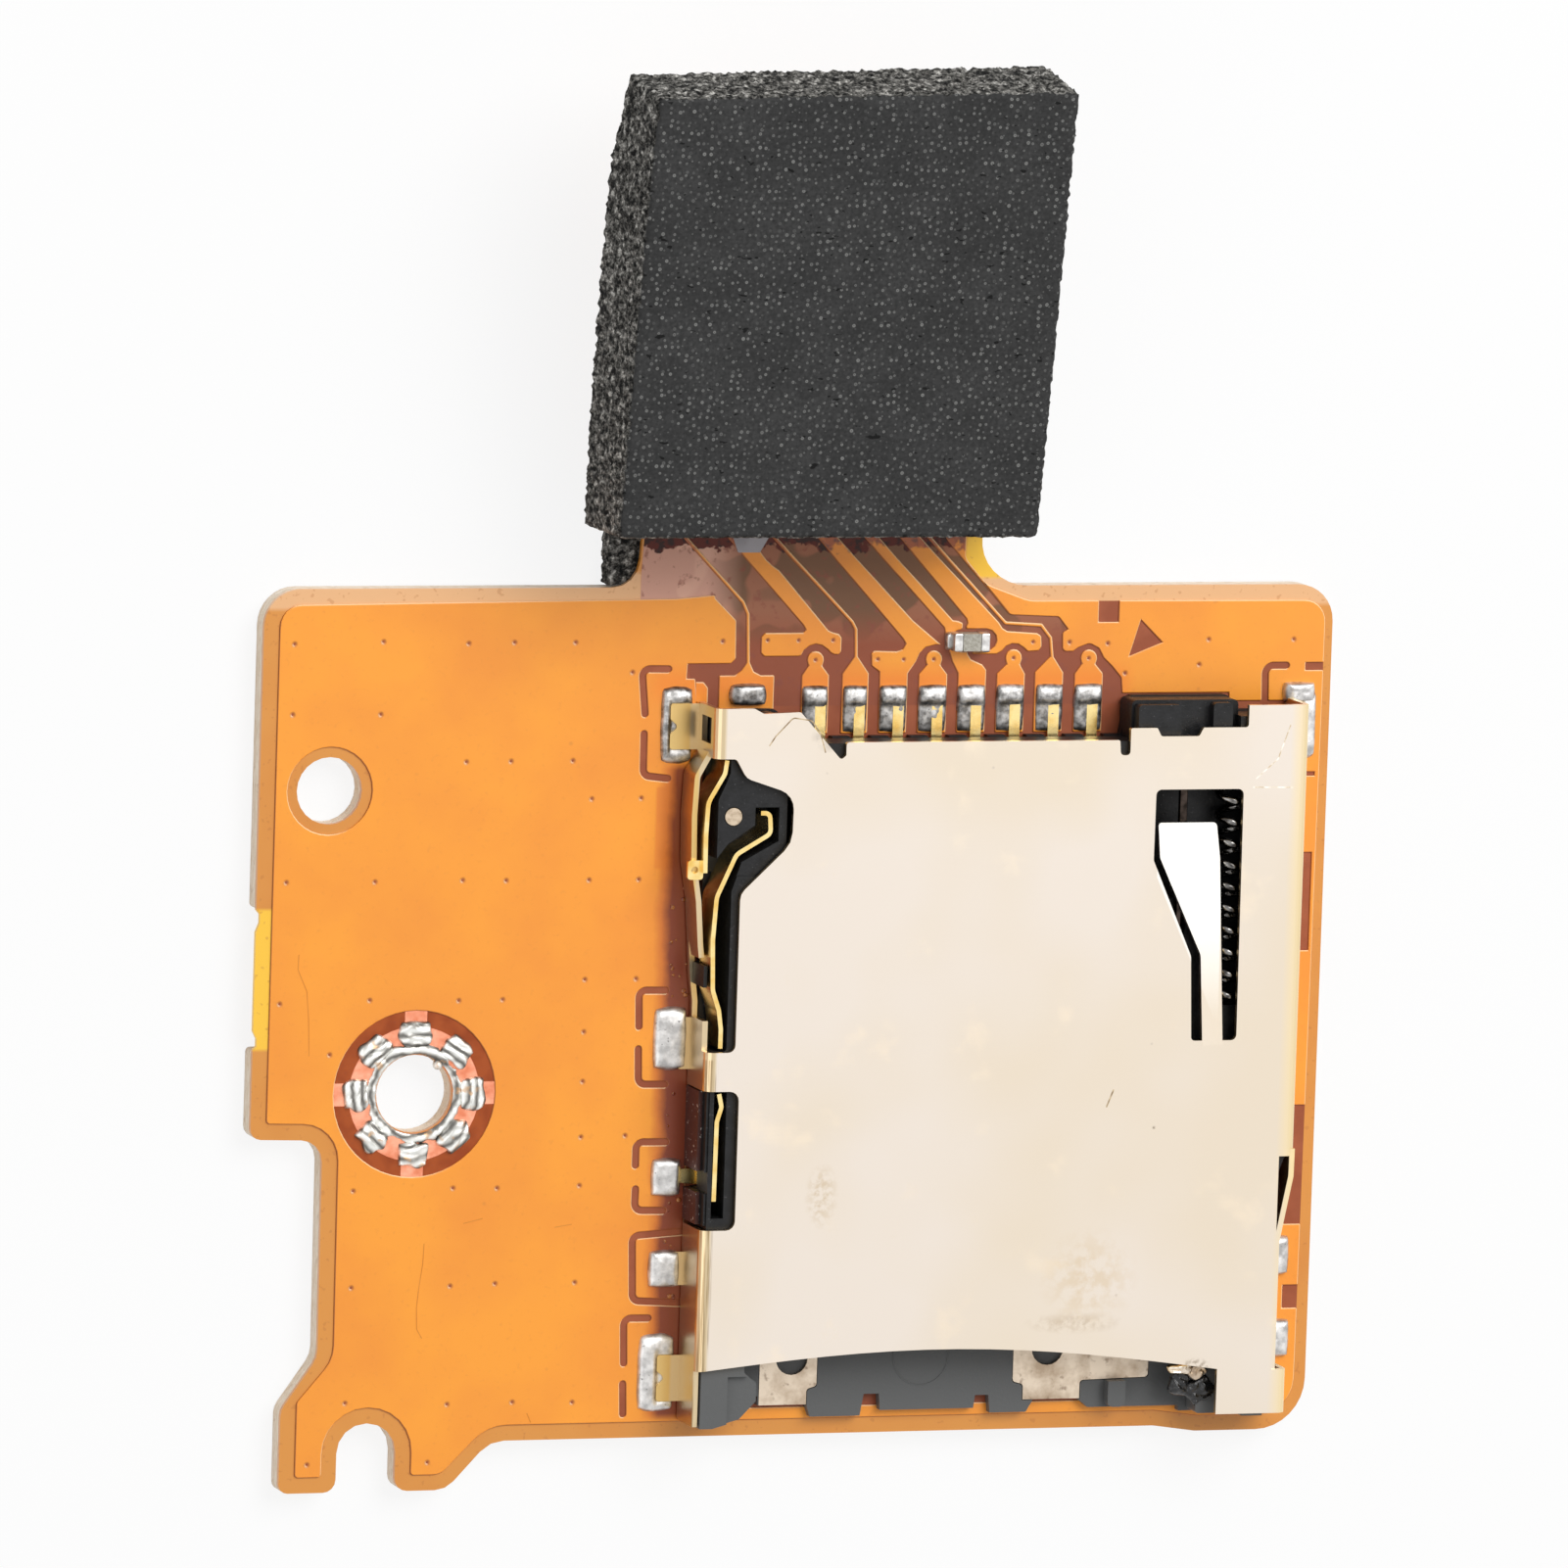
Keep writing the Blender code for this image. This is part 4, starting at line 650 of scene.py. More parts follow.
def makePlatedBronze():
    # stamped copper alloy with satin nickel-gold plating: pale champagne, with fine rolling lines and rubs
    name = "champagne plated bronze"
    material, tree, shader, place = startMaterial(name, cover["plate"], cover["roughness"], 1.0)
    wallReflection = addNode(tree, "MapRange", {1: 0.2, 2: 0.9, 3: 1.0, 4: 0.0}, {0: facingUp(tree)}).outputs[0]
    drawn = addNode(tree, "Mapping", {"Scale": (1.0, 0.03, 1.0)}, {"Vector": place}).outputs[0]
    drawnLines = patches(tree, drawn, 0.06, 0.45, 0.6, top=0.7)
    bendLine = boxMask(tree, place, ((0, -7.5, -6.93), (1, -14.0, -3.3), (2, 2.1, 2.6)), 0.03)
    layers = [
        (patches(tree, place, 6.0, 0.40, 0.68), cover["warm"]),
        (patches(tree, place, 1.6, 0.60, 0.74, 4.0, 0.6, top=0.4), "#DCCBB2"),
        (dots(tree, place, 1.7, 0.012, 0.03, 0.5), cover["grime"]),
        # painted reflection: faces that do not look up, the walls and edges, are painted a deeper yellow, as
        # the orange board would show in them
        (wallReflection, "#EBCF9C"),
        # painted reflection: the band and feet outside the left wall are painted yellower, as the orange
        # board beside them would show in them
        (boxMask(tree, place, ((0, -9.0, -7.22), (1, -14.0, 6.4)), 0.03), "#D9B878"),
        # painted shade along the left bend and a painted highlight along the right one, and fine drawn lines
        # on the left one
        (boxMask(tree, place, ((0, -7.5, -6.98), (1, -14.0, 6.4)), 0.04), "#D6C19C"),
        (boxMask(tree, place, ((0, 9.25, 10.5), (1, -14.0, 6.4)), 0.25), "#F4DCA8"),
        (together(tree, [drawnLines, bendLine]), "#8E7450"),
        # painted highlight: the tongue is bent up a little and catches the light, so it is painted near
        # white
        (tongueMask(tree, place), "#FCF8F0"),
    ]
    for centre, size, period, tone, most in cover["marks"]:
        smudge = patches(tree, place, period, 0.42, 0.6, 4.0, 0.6, top=most)
        layers.append((together(tree, [spotMask(tree, place, centre, size), smudge]), tone))
    tree.links.new(layColours(tree, cover["plate"], layers), shader.inputs["Base Color"])
    dull = patches(tree, place, 1.6, 0.60, 0.74, 4.0, 0.6, 0.28, 0.40)
    tree.links.new(dull, shader.inputs["Roughness"])
    rolled = addNode(tree, "Mapping", {"Scale": (0.04, 1.0, 1.0)}, {"Vector": place}).outputs[0]
    addRelief(tree, shader, rolled, 0.06, 2.0, 0.0012, 0.5)
    return material


def makeBlackPolymer():
    # glass-filled liquid crystal polymer, injection moulded: near-black satin with fine flow specks
    material, tree, shader, place = startMaterial("black liquid crystal polymer", "#151516", 0.42, ior=1.36)
    wall = boxMask(tree, place, ((0, -7.6, -7.16), (1, -9.0, -2.0)), 0.03)
    dust = patches(tree, place, 0.09, 0.70, 0.74, 1.0)
    layers = [
        (patches(tree, place, 0.35, 0.35, 0.7, 4.0, 0.6), "#1E1E20"),
        # painted light: the mouth's upper faces, open to the light, are painted a lighter grey
        (boxMask(tree, place, ((1, -14.0, -10.4),), 0.5), "#606161"),
        # brown flux and pale dust on the outer face of the left wall
        (wall, "#4A2A24"),
        (together(tree, [wall, dust]), "#D8D0C8"),
        (patches(tree, place, 0.07, 0.70, 0.76, 1.0, top=0.35), "#6A696C"),
    ]
    tree.links.new(layColours(tree, "#101011", layers), shader.inputs["Base Color"])
    dull = patches(tree, place, 0.35, 0.35, 0.7, 4.0, 0.6, 0.36, 0.5)
    tree.links.new(dull, shader.inputs["Roughness"])
    addRelief(tree, shader, place, 0.09, 3.0, 0.01, 0.6)
    return material


def makeGlassEpoxy():
    # glass cloth in epoxy, punched to shape: pale cream, with cloth lines on faces and frayed edges
    material, tree, shader, place = startMaterial("glass epoxy", "#EFDFC8", 0.55, ior=1.55)
    weave = addNode(tree, "TexWave", {"Scale": 1.0, "Distortion": 0.6}, {"Vector": place}).outputs[1]
    flat = addNode(tree, "Mapping", {"Scale": (0.35, 0.35, 2.2)}, {"Vector": place}).outputs[0]
    layers = [
        (patches(tree, flat, 0.12, 0.35, 0.7, 4.0, 0.6), "#D9BE9C"),
        (addNode(tree, "MapRange", {4: 0.12}, {0: weave}).outputs[0], "#D8C09A"),
        (patches(tree, place, 0.3, 0.64, 0.72, 3.0, top=0.5), "#B89878"),
    ]
    tree.links.new(layColours(tree, "#FBEEDD", layers), shader.inputs["Base Color"])
    addRelief(tree, shader, flat, 0.12, 4.0, 0.03, 0.6, 0.6)
    return material


foam = {
    "face": "#393939",
    "faceCloud": "#404040",
    "faceDark": "#2A2A2A",
    "cell": "#80807E",
    "cellDark": "#464646",
    # black of the slits in the skin, as painted shade
    "pit": "#0C0C0C",
    "speckSpacing": 0.19,
    "fibrePeriod": 0.2,
    # the torn sides: from painted shade in the pits between the fibres, through the fibres' grey, to painted
    # glints on them
    "cut": [(0.40, "#0C0C0C"), (0.48, "#403F3C"), (0.58, "#787672"), (0.70, "#D2D0CA")],
}


def makeFoam(name, skin):
    # open-cell polyurethane foam, sawn from a block: charcoal skin with burst cells painted in light and
    # shade, and torn sides
    material, tree, shader, place = startMaterial(name, foam["face"], 0.95, ior=1.3)
    settings = {"Scale": 1 / foam["fibrePeriod"], "Detail": 3.0, "Roughness": 0.7}
    fibres = addNode(tree, "TexNoise", settings, {"Vector": place}).outputs[0]
    cut = addNode(tree, "ValToRGB", {"stops": foam["cut"]}, {"Fac": fibres}).outputs[0]
    addRelief(tree, shader, place, foam["fibrePeriod"], 3.0, 0.06, 0.6, 0.7)
    if not skin:
        tree.links.new(cut, shader.inputs["Base Color"])
        return material
    settings = {"voronoi_dimensions": "2D", "Scale": 1 / foam["speckSpacing"], "Randomness": 0.9}
    cells = addNode(tree, "TexVoronoi", settings, {"Vector": place})
    away = cells.outputs["Distance"]
    chance = addNode(tree, "SeparateColor", None, {"Color": cells.outputs["Color"]})
    size = addNode(tree, "MapRange", {3: 0.09, 4: 0.27}, {0: chance.outputs[0]}).outputs[0]
    within = addNode(tree, "Math", {"operation": "SUBTRACT"}, {0: size, 1: away}).outputs[0]
    near = addNode(tree, "MapRange", {1: -0.03, 2: 0.05}, {0: within}).outputs[0]
    # a burst cell is painted as a pale rim, a painted highlight, round a darker hollow of painted shade
    hollow = addNode(tree, "MapRange", {1: 0.05, 2: 0.13, 3: 0.6, 4: 0.0}, {0: away}).outputs[0]
    rim = [(chance.outputs[1], foam["cell"]), (hollow, foam["face"])]
    speck = layColours(tree, foam["cellDark"], rim)
    long = addNode(tree, "Mapping", {"Scale": (0.5, 1.0, 1.0)}, {"Vector": place}).outputs[0]
    wobble = addNode(tree, "Math", {"operation": "ADD"}, {0: facingUp(tree), 1: fibres}).outputs[0]
    side = addNode(tree, "MapRange", {1: 1.10, 2: 1.30, 3: 1.0, 4: 0.0}, {0: wobble}).outputs[0]
    layers = [
        (patches(tree, place, 1.4, 0.4, 0.6, 3.0), foam["faceCloud"]),
        (patches(tree, place, 0.1, 0.4, 0.62, top=0.55), foam["faceDark"]),
        (near, speck),
        # painted shade: short black slits in the skin
        (patches(tree, long, 0.16, 0.68, 0.71, top=0.9), foam["pit"]),
        (side, cut),
    ]
    tree.links.new(layColours(tree, foam["face"], layers), shader.inputs["Base Color"])
    return material


print("materials")
filmMaterial = makePolyimideFilm()
copperMaterial = makeCopperUnderFilm()
etchedMaterial = makeEtchedFilm("etched film", "#9A5236", "#A65C3E")
arcMaterial = makeEtchedFilm("etched film round the screw", "#AA5020", "#984216", 0.6)
neckMaterial = makeNeckFilm()
tapeMaterial = makeEtchedFilm("cloudy tape", "#B2AEB2", "#A09CA0")
brokenMaterial = makePlainFinish("broken liquid crystal polymer")
lineMaterial = makeEtchedFilm("scratched film", "#D9852F", "#E3933E")
bareMaterial = makePlainFinish("bare copper")
solderMaterial = makeSolder("solder", "#DCDAD8", "#B2B0AE")
darkSolder = makeSolder("dull solder", "#C2C0BE", "#767472", 0.2)
lumpMaterial = makePressedSolder()
plateMaterial = makePlatedBronze()
goldMaterial = makePlainFinish("gold plate")
polymerMaterial = makeBlackPolymer()
stainedShadedMaterial = makePlainFinish("stained and shaded plated bronze")
pinMaterial = makePlainFinish("plated pin")
shadedCoilMaterial = makePlainFinish("coil spring with painted shade")
shadedWireMaterial = makePlainFinish("steel wire with painted shade")
epoxyMaterial = makeGlassEpoxy()
foamMaterial = makeFoam("charcoal foam", True)
tornMaterial = makeFoam("torn charcoal foam", False)
ceramicMaterial = makePlainFinish("capacitor ceramic")
fluxMaterial = makePlainFinish("flux residue")
scratchMaterial = makePlainFinish("scratch in the plating")
highlightMaterial = makePlainFinish("painted highlight on the plating")

slotMaterials = {
    "polyimide film": filmMaterial,
    "glass epoxy": epoxyMaterial,
    "foam": foamMaterial,
    "black polymer": polymerMaterial,
    "champagne sheet": plateMaterial,
    "gold plate": goldMaterial,
    "spring steel": shadedCoilMaterial,
    "solder": solderMaterial,
    "capacitor ceramic": ceramicMaterial,
}
ownMaterials = {"floor_plate": stainedShadedMaterial, "block_pin": pinMaterial, "cam_pin": shadedWireMaterial}
for entry in frame["record"]["subparts"]:
    name = entry["node"]
    nodeData = nodes[name].data
    nodeData.materials.clear()
    nodeData.materials.append(ownMaterials.get(name, slotMaterials[entry["material_slot"]]))


# Copper pour: one sheet with its channels and vias cut out

pour = {
    "relief": reliefTop - boardTop,
    "modelled": 0.085,
    "slope": 0.065,
    "below": 0.09,
    "viaFloor": 0.03,
    "viaRim": 0.115,
    "channelWidth": 0.18,
    "screwRoom": 2.24,
    "locatingRoom": 1.17,
}
# how far thin films stand above the board
levels = {"etched": 0.006, "neck": 0.010, "arcs": 0.012, "screwCopper": 0.022}

# outline corners of the pour: x, y and radius, anticlockwise from the left end of the rear edge
pourCorners = [
    (-18.93, 8.78, 0.6), (-18.93, -5.08, 0.1), (-16.93, -5.13, 1.0), (-16.90, -11.45, 1.0),
    (-17.88, -12.6, 0.2), (-17.88, -14.63, 0.1), (-17.14, -14.63, 0.1), (-17.14, -12.78, 1.22),
    (-14.66, -12.78, 1.22), (-14.66, -14.63, 0.1), (-13.82, -14.63, 0.5), (-12.55, -13.33, 1.3),
    (6.35, -13.33, 1.0), (7.6, -13.5, 1.0), (10.36, -13.5, 1.0), (10.48, 8.78, 0.6), (2.0, 8.80, 0.9),
    (0.75, 9.25, 0.9), (0.12, 10.0, 0.4), (0.05, 11.0, 0), (-0.45, 11.0, 0), (-2.0, 9.4, 0),
    (-7.96, 8.90, 0),
]

# where the film lies bare: pads and traces behind the socket, and everything under it
openCorners = [
    (-1.2, 11.2, 0), (-7.0, 9.6, 0), (-6.86, 8.90, 0), (-6.26, 8.31, 0.1), (-6.24, 7.28, 0),
    (-6.38, 7.15, 0), (-7.58, 7.15, 0), (-7.60, 6.75, 0), (-7.36, 6.75, 0), (-7.30, 6.2, 0),
    (-7.2, 6.0, 0), (-7.2, -13.0, 0), (9.62, -13.0, 0), (9.62, 6.05, 0), (7.78, 6.05, 0),
    (7.78, 6.28, 0), (4.72, 6.28, 0), (4.68, 6.7, 0.1), (4.40, 7.02, 0.1), (4.16, 7.24, 0),
    (4.02, 7.50, 0.1), (3.74, 7.64, 0.2), (3.42, 7.52, 0.1), (3.28, 7.42, 0.1), (2.98, 7.42, 0.12),
    (2.96, 7.92, 0.12), (3.12, 8.02, 0), (2.84, 8.36, 0.1), (1.45, 8.42, 0.2), (-0.41, 10.45, 0),
    (-0.9, 11.2, 0),
]

channels = [
    [(-8.12, 7.01), (-8.86, 7.02), (-8.74, 5.81)],
    [(-8.75, 5.28), (-8.74, 4.15), (-8.05, 4.07)],
    [(-7.92, -1.64), (-8.67, -1.63), (-8.64, -2.61)],
    [(-8.64, -3.21), (-8.61, -4.17), (-7.87, -4.18)],
    [(-7.79, -5.74), (-8.62, -5.73), (-8.62, -6.36)],
    [(-8.60, -7.0), (-8.61, -7.58), (-7.81, -7.60)],
    [(-7.05, -8.16), (-8.65, -8.27), (-8.59, -10.03), (-7.05, -10.12)],
    [(-8.13, -10.51), (-8.82, -10.5), (-8.78, -11.72)],
    [(-8.79, -12.28), (-8.76, -13.1)],
    [(8.82, 6.00), (8.80, 6.83), (8.91, 7.0), (9.40, 7.0)],
]

vias = [
    (-18.51, 7.74), (-16.06, 7.79), (-13.70, 7.73), (-18.51, 5.86), (-16.08, 5.85), (-13.67, 4.56),
    (-12.43, 7.75), (-10.73, 7.74), (-9.12, 6.93), (-12.43, 4.57), (-10.71, 4.57), (-10.15, 3.54),
    (-8.77, 3.55), (-13.68, 1.39), (-12.47, 1.37), (-10.16, 1.36), (-8.77, 1.36), (-18.56, 1.38),
    (-16.11, 1.37), (-18.65, -1.87), (-16.16, -1.80), (-13.69, -1.84), (-17.23, -3.25), (-10.19, -1.32),
    (-8.76, -1.32), (-12.47, -1.83), (-10.18, -2.73), (-10.17, -4.07), (-16.47, -6.92), (-13.70, -6.89),
    (-16.45, -9.53), (-13.70, -9.53), (-10.17, -5.57), (-8.93, -5.55), (-12.47, -6.91), (-10.17, -6.88),
    (-12.45, -9.49), (-10.22, -9.50), (-16.53, -12.64), (-13.69, -12.73), (-17.54, -14.28),
    (-14.19, -14.29), (-11.87, -12.71), (-10.19, -12.75), (-6.62, 7.75), (7.15, 7.72), (9.59, 7.71),
    (4.27, 7.63), (6.90, 7.04), (4.79, 6.82), (3.18, 7.67),
]

# plain openings of other shapes: a triangle and a rectangle at the rear, and slits along the right side
openings = [
    [(5.19, 8.26), (4.89, 7.28), (5.82, 7.65)],
    [(3.98, 8.84), (3.98, 8.21), (4.55, 8.21), (4.55, 8.84)],
    [(9.95, 7.08), (9.95, 6.87), (10.6, 6.87), (10.6, 7.08)],
    [(9.75, 1.9), (9.75, -0.78), (10.32, -0.78), (10.32, 1.9)],
    [(9.75, 4.1), (9.75, 3.99), (10.32, 3.99), (10.32, 4.1)],
    [(9.75, -5.02), (9.75, -8.28), (10.6, -8.28), (10.6, -5.02)],
    [(9.94, -9.96), (9.94, -10.59), (10.6, -10.59), (10.6, -9.96)],
]


def buildPour():
    # the sheet's underside lies within the film, so that only its upper edges are bevelled in sight
    low, high = boardTop - pour["below"], boardTop + pour["modelled"]
    piece = flatShape("copperPour", roundCorners(pourCorners), low, high, copperMaterial)
    cutAway(piece, flatShape("openRegion", roundCorners(openCorners), low - 1, high + 1))
    cutters = [
        flatShape("screwRoom", circleOutline(screwHole, pour["screwRoom"], 48), low - 1, high + 1),
        flatShape("locatingRoom", circleOutline(locatingHole, pour["locatingRoom"], 32), low - 1, high + 1),
    ]
    for outline in [strokeOutline(path, pour["channelWidth"], 0.2) for path in channels] + openings:
        cutters.append(flatShape("opening", outline, low - 1, high + 1))
    cutAway(piece, joinPieces(cutters))
    cleanMesh(piece)
    bevelEdges(piece, pour["slope"])
    cutAway(piece, pitCutters(vias, pour["viaFloor"], pour["viaRim"], high))
    squashRelief(piece, pour["modelled"], pour["relief"])
    bendTail(piece)
    smoothFaces(piece)
    finishPiece(piece, "board")


print("copper pour")
buildPour()


def buildEtchedFilm():
    # brown laminate that shows in the channels
    outline = roundCorners(pourCorners[:16])
    piece = flatShape("etchedFilm", outline, boardTop, boardTop + levels["etched"], etchedMaterial)
    holes = [(screwHole, 1.2), (locatingHole, 1.3)]
    cutAway(piece, joinPieces([flatShape("room", circleOutline(*hole, 32), 0, 2) for hole in holes]))
    finishPiece(piece, "board")


buildEtchedFilm()


neckCorners = [
    (-8.95, 8.84, 0), (-7.5, 8.84, 0), (-7.5, 6.0, 0), (4.9, 6.0, 0), (4.9, 7.6, 0), (1.0, 9.0, 0),
    (0.05, 10.0, 0.3), (0.05, 11.3, 0), (-8.95, 11.3, 0),
]


def buildNeckFilm():
    high = boardTop + levels["neck"]
    piece = flatShape("neckFilm", roundCorners(neckCorners), boardTop, high, neckMaterial)
    bendTail(piece)
    finishPiece(piece, "board")


buildNeckFilm()


# Copper islands behind the socket: traces, bands, bars and contact pads, in the film's flat pattern

islands = [
    # first trace and its pad
    [
        (-7.706, 10.395), (-6.13, 8.77), (-5.99, 8.47), (-5.94, 7.18), (-6.08, 6.95),
        (-6.25, 6.83), (-6.70, 6.83), (-6.70, 5.90), (-5.14, 5.90), (-5.14, 6.83), (-5.52, 6.83),
        (-5.72, 6.93), (-5.84, 7.18), (-5.89, 8.49), (-6.05, 8.83), (-7.634, 10.465),
    ],
    # small pad beside it
    [(-7.36, 6.66), (-7.36, 5.95), (-6.99, 5.95), (-6.99, 6.50), (-7.12, 6.66)],
    # first band and its bar
    [
        (-6.21, 10.14), (-4.38, 8.17), (-4.30, 8.04), (-4.36, 7.97), (-5.43, 7.97), (-5.55, 7.85),
        (-5.55, 7.43), (-5.45, 7.33), (-4.47, 7.33), (-4.40, 7.36), (-4.33, 7.50), (-4.17, 7.62),
        (-4.00, 7.66), (-3.83, 7.62), (-3.67, 7.51), (-3.58, 7.42), (-3.48, 7.37), (-3.35, 7.37),
        (-3.28, 7.45), (-3.28, 7.83), (-3.36, 7.93), (-3.55, 7.98), (-3.66, 8.03), (-5.10, 9.66),
        (-5.30, 9.80), (-5.50, 9.98), (-5.57, 10.14),
    ],
    # second trace and its pad
    [
        (-5.26, 10.42), (-4.855, 10.015), (-3.04, 8.22), (-2.94, 8.04), (-2.91, 7.32), (-3.24, 6.86),
        (-3.24, 5.24), (-2.48, 5.24), (-2.48, 6.86), (-2.81, 7.32), (-2.84, 8.06), (-2.96, 8.28),
        (-4.785, 10.085), (-5.19, 10.49),
    ],
    # second band, its bar and its pad
    [
        (-3.72, 10.17), (-1.55, 7.78), (-1.47, 7.65), (-1.55, 7.50), (-1.71, 7.45), (-2.34, 7.47),
        (-2.44, 7.40), (-2.42, 7.06), (-2.19, 6.90), (-2.18, 5.24), (-1.38, 5.24), (-1.38, 6.85),
        (-1.16, 7.17), (-1.06, 7.40), (-0.90, 7.56), (-0.62, 7.62), (-0.46, 7.62), (-1.28, 8.28),
        (-3.12, 10.13), (-3.38, 10.33),
    ],
    # third band and the fifth contact's pad
    [
        (-2.33, 10.08), (-0.40, 8.08), (-0.30, 7.64), (-0.14, 7.16), (0.03, 6.85), (0.03, 5.24),
        (0.84, 5.24), (0.84, 6.93), (0.72, 7.08), (0.40, 7.22), (0.30, 7.36), (0.30, 7.43),
        (0.12, 7.43), (-0.07, 7.49), (-0.17, 7.62), (-0.19, 7.74), (-0.16, 7.87), (-0.04, 8.00),
        (0.12, 8.04), (0.14, 8.20), (0.00, 8.26), (-0.15, 8.28), (-1.91, 10.08),
    ],
    # fourth band, round the right of the capacitor
    [
        (-1.61, 10.40), (0.22, 8.32), (0.26, 8.20), (0.22, 8.12), (0.22, 8.04), (0.80, 8.04),
        (0.96, 7.99), (1.07, 7.87), (1.10, 7.73), (1.05, 7.58), (0.94, 7.48), (0.78, 7.43),
        (0.42, 7.43), (0.42, 7.36), (1.12, 7.36), (1.28, 7.46), (1.38, 7.58), (1.55, 7.64),
        (1.72, 7.62), (1.88, 7.52), (1.99, 7.42), (2.30, 7.44), (2.39, 7.55), (2.37, 7.84),
        (2.25, 7.92), (1.40, 7.98), (1.26, 8.06), (1.15, 8.22), (-1.07, 10.40),
    ],
    # third trace and the seventh contact's pad
    [
        (-0.73, 10.25), (1.31, 8.15), (2.33, 8.08), (2.585, 7.77), (2.64, 7.28), (2.21, 6.85),
        (2.21, 5.24), (3.03, 5.24), (3.03, 6.85), (2.74, 7.28), (2.675, 7.81), (2.38, 8.18),
        (1.36, 8.24), (-0.65, 10.31),
    ],
]

# contact pads that end in a round via: centre of the via, and the pad's left and right edges
viaPads = [
    ((-4.00, 7.23), -4.38, -3.60),
    ((-0.66, 7.23), -1.08, -0.26),
    ((1.60, 7.25), 1.13, 1.94),
    ((3.74, 7.23), 3.34, 4.16),
]
islandVias = [
    (-5.36, 7.77), (-4.49, 7.76), (-3.52, 7.76), (-4.00, 7.23), (-2.24, 7.24), (-1.51, 7.23),
    (-0.66, 7.23), (1.60, 7.25), (2.14, 7.68), (3.74, 7.23),
]
island = {
    "below": 0.06,
    "modelled": 0.07,
    "slope": 0.042,
    "viaFloor": 0.03,
    "viaRim": 0.10,
    # where a pad with a round via starts and narrows, half the width of its neck, and the round end's radius
    "padFront": 5.24,
    "shoulder": 6.82,
    "neck": (0.19, 7.08),
    "roundEnd": 0.24,
    # the traces and bands go on under the foam in the way that they come: from where, which way and how far
    "foamFrom": 10.0,
    "way": (-0.68, 0.73),
    "reach": 0.9,
}


def runUnderFoam(outline):
    x, y = (part * island["reach"] for part in island["way"])
    return [(px + x, py + y) if py > island["foamFrom"] else (px, py) for px, py in outline]


def buildIslands():
    low, high = boardTop - island["below"], boardTop + island["modelled"]
    front, shoulder, (half, narrow) = island["padFront"], island["shoulder"], island["neck"]
    outlines = [runUnderFoam(outline) for outline in islands]
    for centre, left, right in viaPads:
        outline = [(left, front), (right, front), (right, shoulder), (centre[0] + half, narrow)]
        outline += circleOutline(centre, island["roundEnd"], 10, math.radians(-25), math.radians(230))
        outlines.append(outline + [(centre[0] - half, narrow), (left, shoulder)])
    joinPieces([flatShape("island", outline, low, high, copperMaterial) for outline in outlines])
    piece = namePiece("copperIslands")
    cleanMesh(piece, 0.001)
    bevelEdges(piece, island["slope"], limited=False)
    cutAway(piece, pitCutters(islandVias, island["viaFloor"], island["viaRim"], high))
    squashRelief(piece, island["modelled"], pour["relief"])
    bendTail(piece)
    smoothFaces(piece)
    finishPiece(piece, "board")


print("copper islands")
buildIslands()


# Ring of bare copper round the screw hole, its spokes and the brown arcs between them

ring = {
    "hole": 1.07,
    "copper": 1.82,
    "clearance": 2.25,
    "spoke": 0.62,
    "arcs": (1.15, 2.3),
    "lumpRadius": 1.62,
    "lumpSize": (0.7, 0.9),
    "lumps": 8,
    # the crushed ring's middle and half thickness, and the bead at its inner edge
    "crushed": (1.2, 0.13),
    "bead": (0.62, 0.78, 0.14),
}


def buildScrewRing():
    inner, outer = ring["arcs"]
    top = boardTop + levels["arcs"]
    arcs = flatShape("screwArcs", circleOutline(screwHole, outer, 48), boardTop, top, arcMaterial)
    cutAway(arcs, flatShape("hole", circleOutline(screwHole, inner, 32), 0, 2))
    finishPiece(arcs, "board")
    top = boardTop + levels["screwCopper"]
    outline = circleOutline(screwHole, ring["copper"], 48)
    shape = flatShape("screwCopper", outline, boardTop, top, bareMaterial)
    (x, y), long, half = screwHole, ring["clearance"], ring["spoke"] / 2
    for wide, deep in ((long, half), (half, long)):
        corners = [(x - wide, y - deep), (x + wide, y - deep), (x + wide, y + deep), (x - wide, y + deep)]
        spoke = flatShape("spoke", corners, boardTop, top, bareMaterial)
        applyModifier(shape, "BOOLEAN", {"object": spoke, "operation": "UNION", "solver": "EXACT"})
        bpy.data.objects.remove(spoke)
    cutAway(shape, flatShape("hole", circleOutline(screwHole, ring["hole"], 40), 0, 2))
    bevelEdges(shape, 0.01, 1)
    finishPiece(shape, "board")


buildScrewRing()


# Solder: pools that are domed, rippled and closed underneath

# a pool's height at its rim as a share of its middle's, its lowest height, and its ripples
pool = {"rim": 0.12, "lowest": 0.012, "ripple": 0.02, "ripplesPerMm": 2.4}


